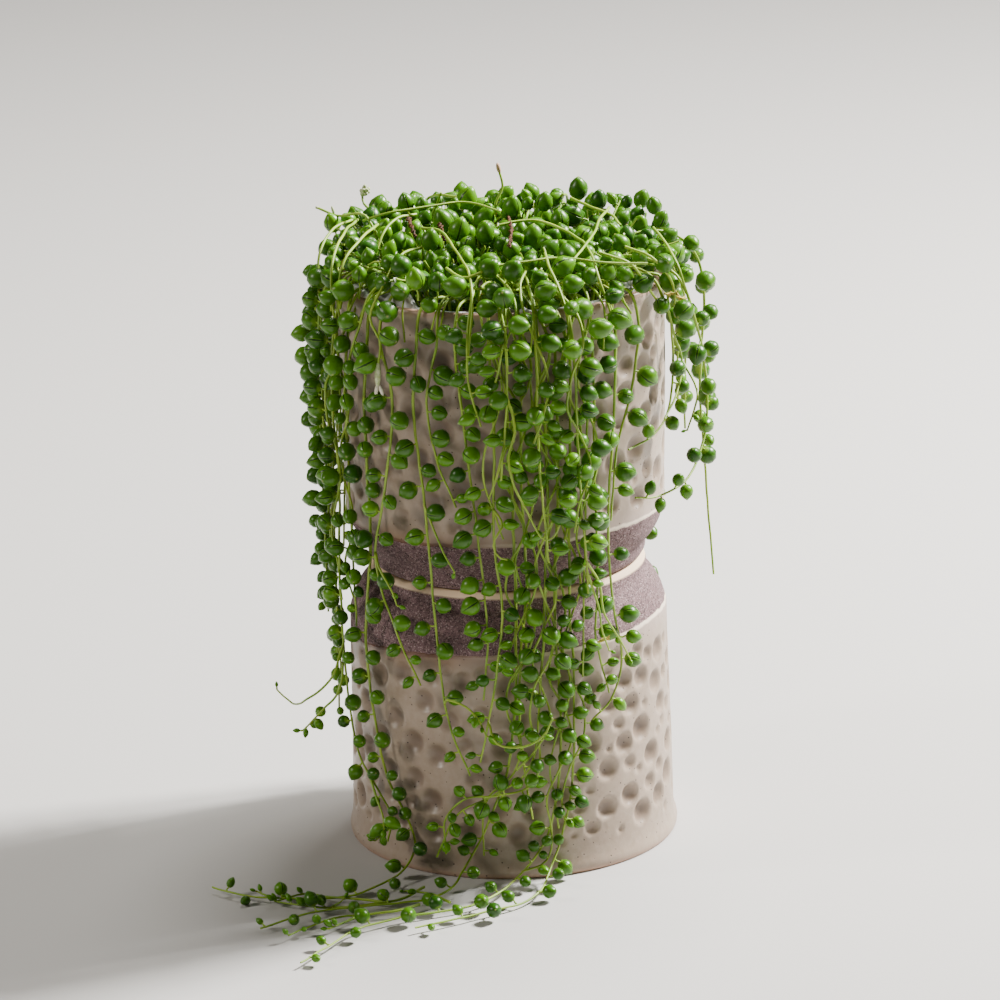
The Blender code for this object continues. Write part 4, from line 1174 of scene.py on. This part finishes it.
# Short twigs of the trailing stems, which lie on the surface: the points that each passes, as X
# and Y from the planters' axis, and its buds.
FLOOR_TWIGS = (
    (((-0.0505, -0.0905), (-0.0605, -0.0870), (-0.0725, -0.0835), (-0.0805, -0.0800),
      (-0.0912, -0.0870)), 3),
    (((-0.0350, -0.0760), (-0.0450, -0.0890), (-0.0720, -0.0945), (-0.0912, -0.0870)), 4),
    (((-0.0365, -0.0940), (-0.0465, -0.1010), (-0.0660, -0.1050), (-0.0765, -0.1120),
      (-0.0850, -0.1220)), 3),
    (((-0.0912, -0.0850), (-0.0955, -0.0800), (-0.0985, -0.0765)), 2),
    (((-0.0700, -0.0950), (-0.0670, -0.0900), (-0.0655, -0.0870)), 1),
    (((-0.0600, -0.1050), (-0.0680, -0.1140), (-0.0700, -0.1165)), 3),
    (((-0.0250, -0.0930), (-0.0330, -0.0830), (-0.0420, -0.0800)), 2),
)
TINY_BUD = (0.0006, 0.0012)


def on_stem(number, height):
    """The point where a hanging stem passes this height on its way down."""
    points = stem_routes[number - 1].points
    return Vector(points[len(points) - 1 - np.argmax(points[::-1, 2] > height)])


loose = Sprig()
draw = random.Random(41)
shoots = [(Route([on_stem(number, height), *(round_axis(*knot) for knot in passes)]), buds)
          for number, height, passes, buds in SIDE_SHOOTS]
shoots += [(Route([AXIS + Vector((x, y, FLOOR_STEM)) for x, y in passes]), buds)
           for passes, buds in FLOOR_TWIGS]
for route, buds in shoots:
    lying = route.at(0).z < 0.005
    loose.add_stem(route, STEM * 0.85, STEM_TIP * 0.8)
    for bud in range(buds):
        mark = route.length * (1 - 0.42 * bud / max(buds, 2))
        size = draw.uniform(*TINY_BUD) * (1 + 0.25 * bud)
        ahead = route.direction(mark)
        spoke = Matrix.Rotation(draw.uniform(0, math.tau), 3, ahead) @ ahead.orthogonal().normalized()
        if lying:
            spoke.z = abs(spoke.z)
        axis = (spoke + ahead * 0.8).normalized()
        loose.add_pearl(route.at(mark), ahead, route.at(mark) + axis * (size * 1.3 + 0.0010), axis,
                        ahead, size, 0.75, 1.45)
loose.build("side_shoots")

# A few old flower stems and leaves have withered where they grew: dark twisted stems on the
# crown, orange husks at its edge, and one spent flower that hangs by its stalk.
# The twisted stems' points, as angle, radius and height.
TWISTS = (
    ((-112, 0.0370, 0.2435), (-92, 0.0340, 0.2445), (-58, 0.0370, 0.2435)),
    ((-86, 0.0230, 0.2445), (-56, 0.0260, 0.2450), (-40, 0.0320, 0.2435)),
    ((100, 0.0040, 0.2450), (14, 0.0200, 0.2455), (6, 0.0380, 0.2435)),
)
TWIST_RADIUS = 0.00046
TWIST_WANDER = 0.0013
# The husks' places, as angle, radius and height, and how many bracts each has.
HUSKS = ((60, 0.0740, 0.2235, 5), (65, 0.0750, 0.2200, 6), (26, 0.0790, 0.0980, 5))
BRACT = 0.0034
BRACT_RADIUS = 0.00065
BRACT_TIP = 0.00012
# The spent flower's stalk, neck, the top of its green cup and the cup's mouth.
SPENT_FLOWER = (
    (-39, 0.0715, 0.2140), (-38.5, 0.0730, 0.2085), (-39, 0.0735, 0.2046), (-39.5, 0.0735, 0.1956),
)
SPENT_STALK = (0.00040, 0.00055)
CUP_RADIUS = 0.0012
HAIRS = 7
HAIR_RADIUS = 0.00030

brown = []
for row in TWISTS:
    route = Route([round_axis(*knot) for knot in row])
    for strand in range(3):
        points = []
        for mark in np.linspace(0, route.length, 30):
            here = route.at(mark)
            wander = noise.noise_vector(here * 700 + Vector((0, 0, strand * 5)))
            points.append(here + wander * TWIST_WANDER)
        brown.append((points, TWIST_RADIUS, TWIST_RADIUS * 0.6))
husks = []
for angle, radius, height, bracts in HUSKS:
    centre = round_axis(angle, radius, height)
    for bract in range(bracts):
        spoke = Vector([draw.gauss(0, 1), draw.gauss(0, 1), draw.gauss(0, 0.6)]).normalized()
        curl = Vector((0, 0, BRACT * draw.uniform(-0.5, 0.7)))
        points = [centre + spoke * BRACT * share + curl * share**2
                  for share in (0, 0.3, 0.6, 0.85, 1.0)]
        husks.append((points, BRACT_RADIUS, BRACT_TIP))
stalk_end, neck, cup, mouth = (round_axis(*knot) for knot in SPENT_FLOWER)
for hair in range(HAIRS):
    spoke = Vector((math.cos(hair), math.sin(hair), 0))
    points = []
    for share in (0, 0.2, 0.4, 0.6, 0.8, 1.0):
        curl = noise.noise_vector(spoke * 9 + Vector((0, 0, share * 3))) * 0.0012
        points.append(mouth + (spoke * 0.0010 + curl) * share - Vector((0, 0, 0.0022 + 0.0040 * share)))
    brown.append((points, HAIR_RADIUS, HAIR_RADIUS * 0.6))
withered = dry_skin("withered_brown", (0.110, 0.035, 0.008), (0.008, 0.002, 0.001))
orange = dry_skin("husk_orange", (0.52, 0.31, 0.06), (0.36, 0.38, 0.07))
for name, lines, skin in (("withered_twists", brown, withered), ("orange_husks", husks, orange)):
    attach(piece_from(tubes(lines), name, skin), "root")
bm = tubes([([stalk_end, stalk_end.lerp(neck, 0.5), neck, cup], *SPENT_STALK)], material_index=1)
spindle(bm, cup + Vector((0, 0, 0.0010)), mouth, CUP_RADIUS)
for side in (-0.0008, 0.0020):
    spindle(bm, mouth + Vector((side * 0.3, 0, 0.0008)), mouth + Vector((side, 0, -0.0038)), 0.0007, 2)
petal = dry_skin("dry_petal", (0.86, 0.83, 0.70), (0.66, 0.62, 0.45))
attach(piece_from(bm, "spent_flower", PALE_SCALE, STEM_SKIN, petal), "root")

# The object stands on a plain pale floor in soft studio light, seen from the front and a
# little above.
EYE_DISTANCE = 2.0
EYE_PITCH = math.radians(17.5)
EYE_ROLL = math.radians(-1.52)
FOCAL_PIXELS = 5138
PICTURE = 1000
WAIST_AT = (507, 551)


def studio_floor():
    """A matt, pale grey floor."""
    material, _, _ = new_material("pale_floor", Roughness=0.9, Base_Color=(0.50, 0.49, 0.475, 1))
    bm = bmesh.new()
    bmesh.ops.create_grid(bm, x_segments=1, y_segments=1, size=9.0)
    piece_from(bm, "floor", material)


def area_light(name, place, size, power, colour):
    """A soft square light that looks at the planters' waist."""
    data = bpy.data.lights.new(name, "AREA")
    data.size = size
    data.energy = power
    data.color = colour
    lamp = bpy.data.objects.new(name, data)
    lamp.location = AXIS + Vector(place)
    aim = AXIS + Vector((0, 0, PLANTER_HEIGHT)) - lamp.location
    lamp.rotation_euler = aim.to_track_quat("-Z", "Y").to_euler()
    bpy.context.scene.collection.objects.link(lamp)


def studio_camera():
    """The camera, aimed so that the waist falls where the picture has it."""
    data = bpy.data.cameras.new("camera")
    data.sensor_width = 36
    data.lens = 36 * FOCAL_PIXELS / PICTURE
    camera = bpy.data.objects.new("camera", data)
    back = Vector((0, -math.cos(EYE_PITCH), math.sin(EYE_PITCH)))
    waist = AXIS + Vector((0, 0, PLANTER_HEIGHT))
    right_of_centre = math.atan2(WAIST_AT[0] - PICTURE / 2, FOCAL_PIXELS)
    below_centre = math.atan2(WAIST_AT[1] - PICTURE / 2, FOCAL_PIXELS)
    camera.matrix_world = (
        Matrix.Translation(waist + back * EYE_DISTANCE)
        @ Matrix.Rotation(math.pi / 2 - EYE_PITCH, 4, "X")
        @ Matrix.Rotation(EYE_ROLL, 4, "Z")
        @ Matrix.Rotation(below_centre, 4, "X")
        @ Matrix.Rotation(right_of_centre, 4, "Y")
    )
    bpy.context.scene.collection.objects.link(camera)
    bpy.context.scene.camera = camera


studio_floor()
studio_camera()
area_light("key", (1.26, 0.54, 1.35), 0.30, 180, (1.0, 0.975, 0.94))
area_light("fill", (-1.80, -0.50, 1.25), 0.35, 21, (1.0, 0.94, 0.86))
area_light("top", (0.30, 0.70, 1.95), 0.6, 32, (1.0, 0.975, 0.93))
world = bpy.data.worlds.new("studio")
world.use_nodes = True
world.node_tree.nodes["Background"].inputs["Color"].default_value = (0.86, 0.82, 0.77, 1)
world.node_tree.nodes["Background"].inputs["Strength"].default_value = 0.095
bpy.context.scene.world = world
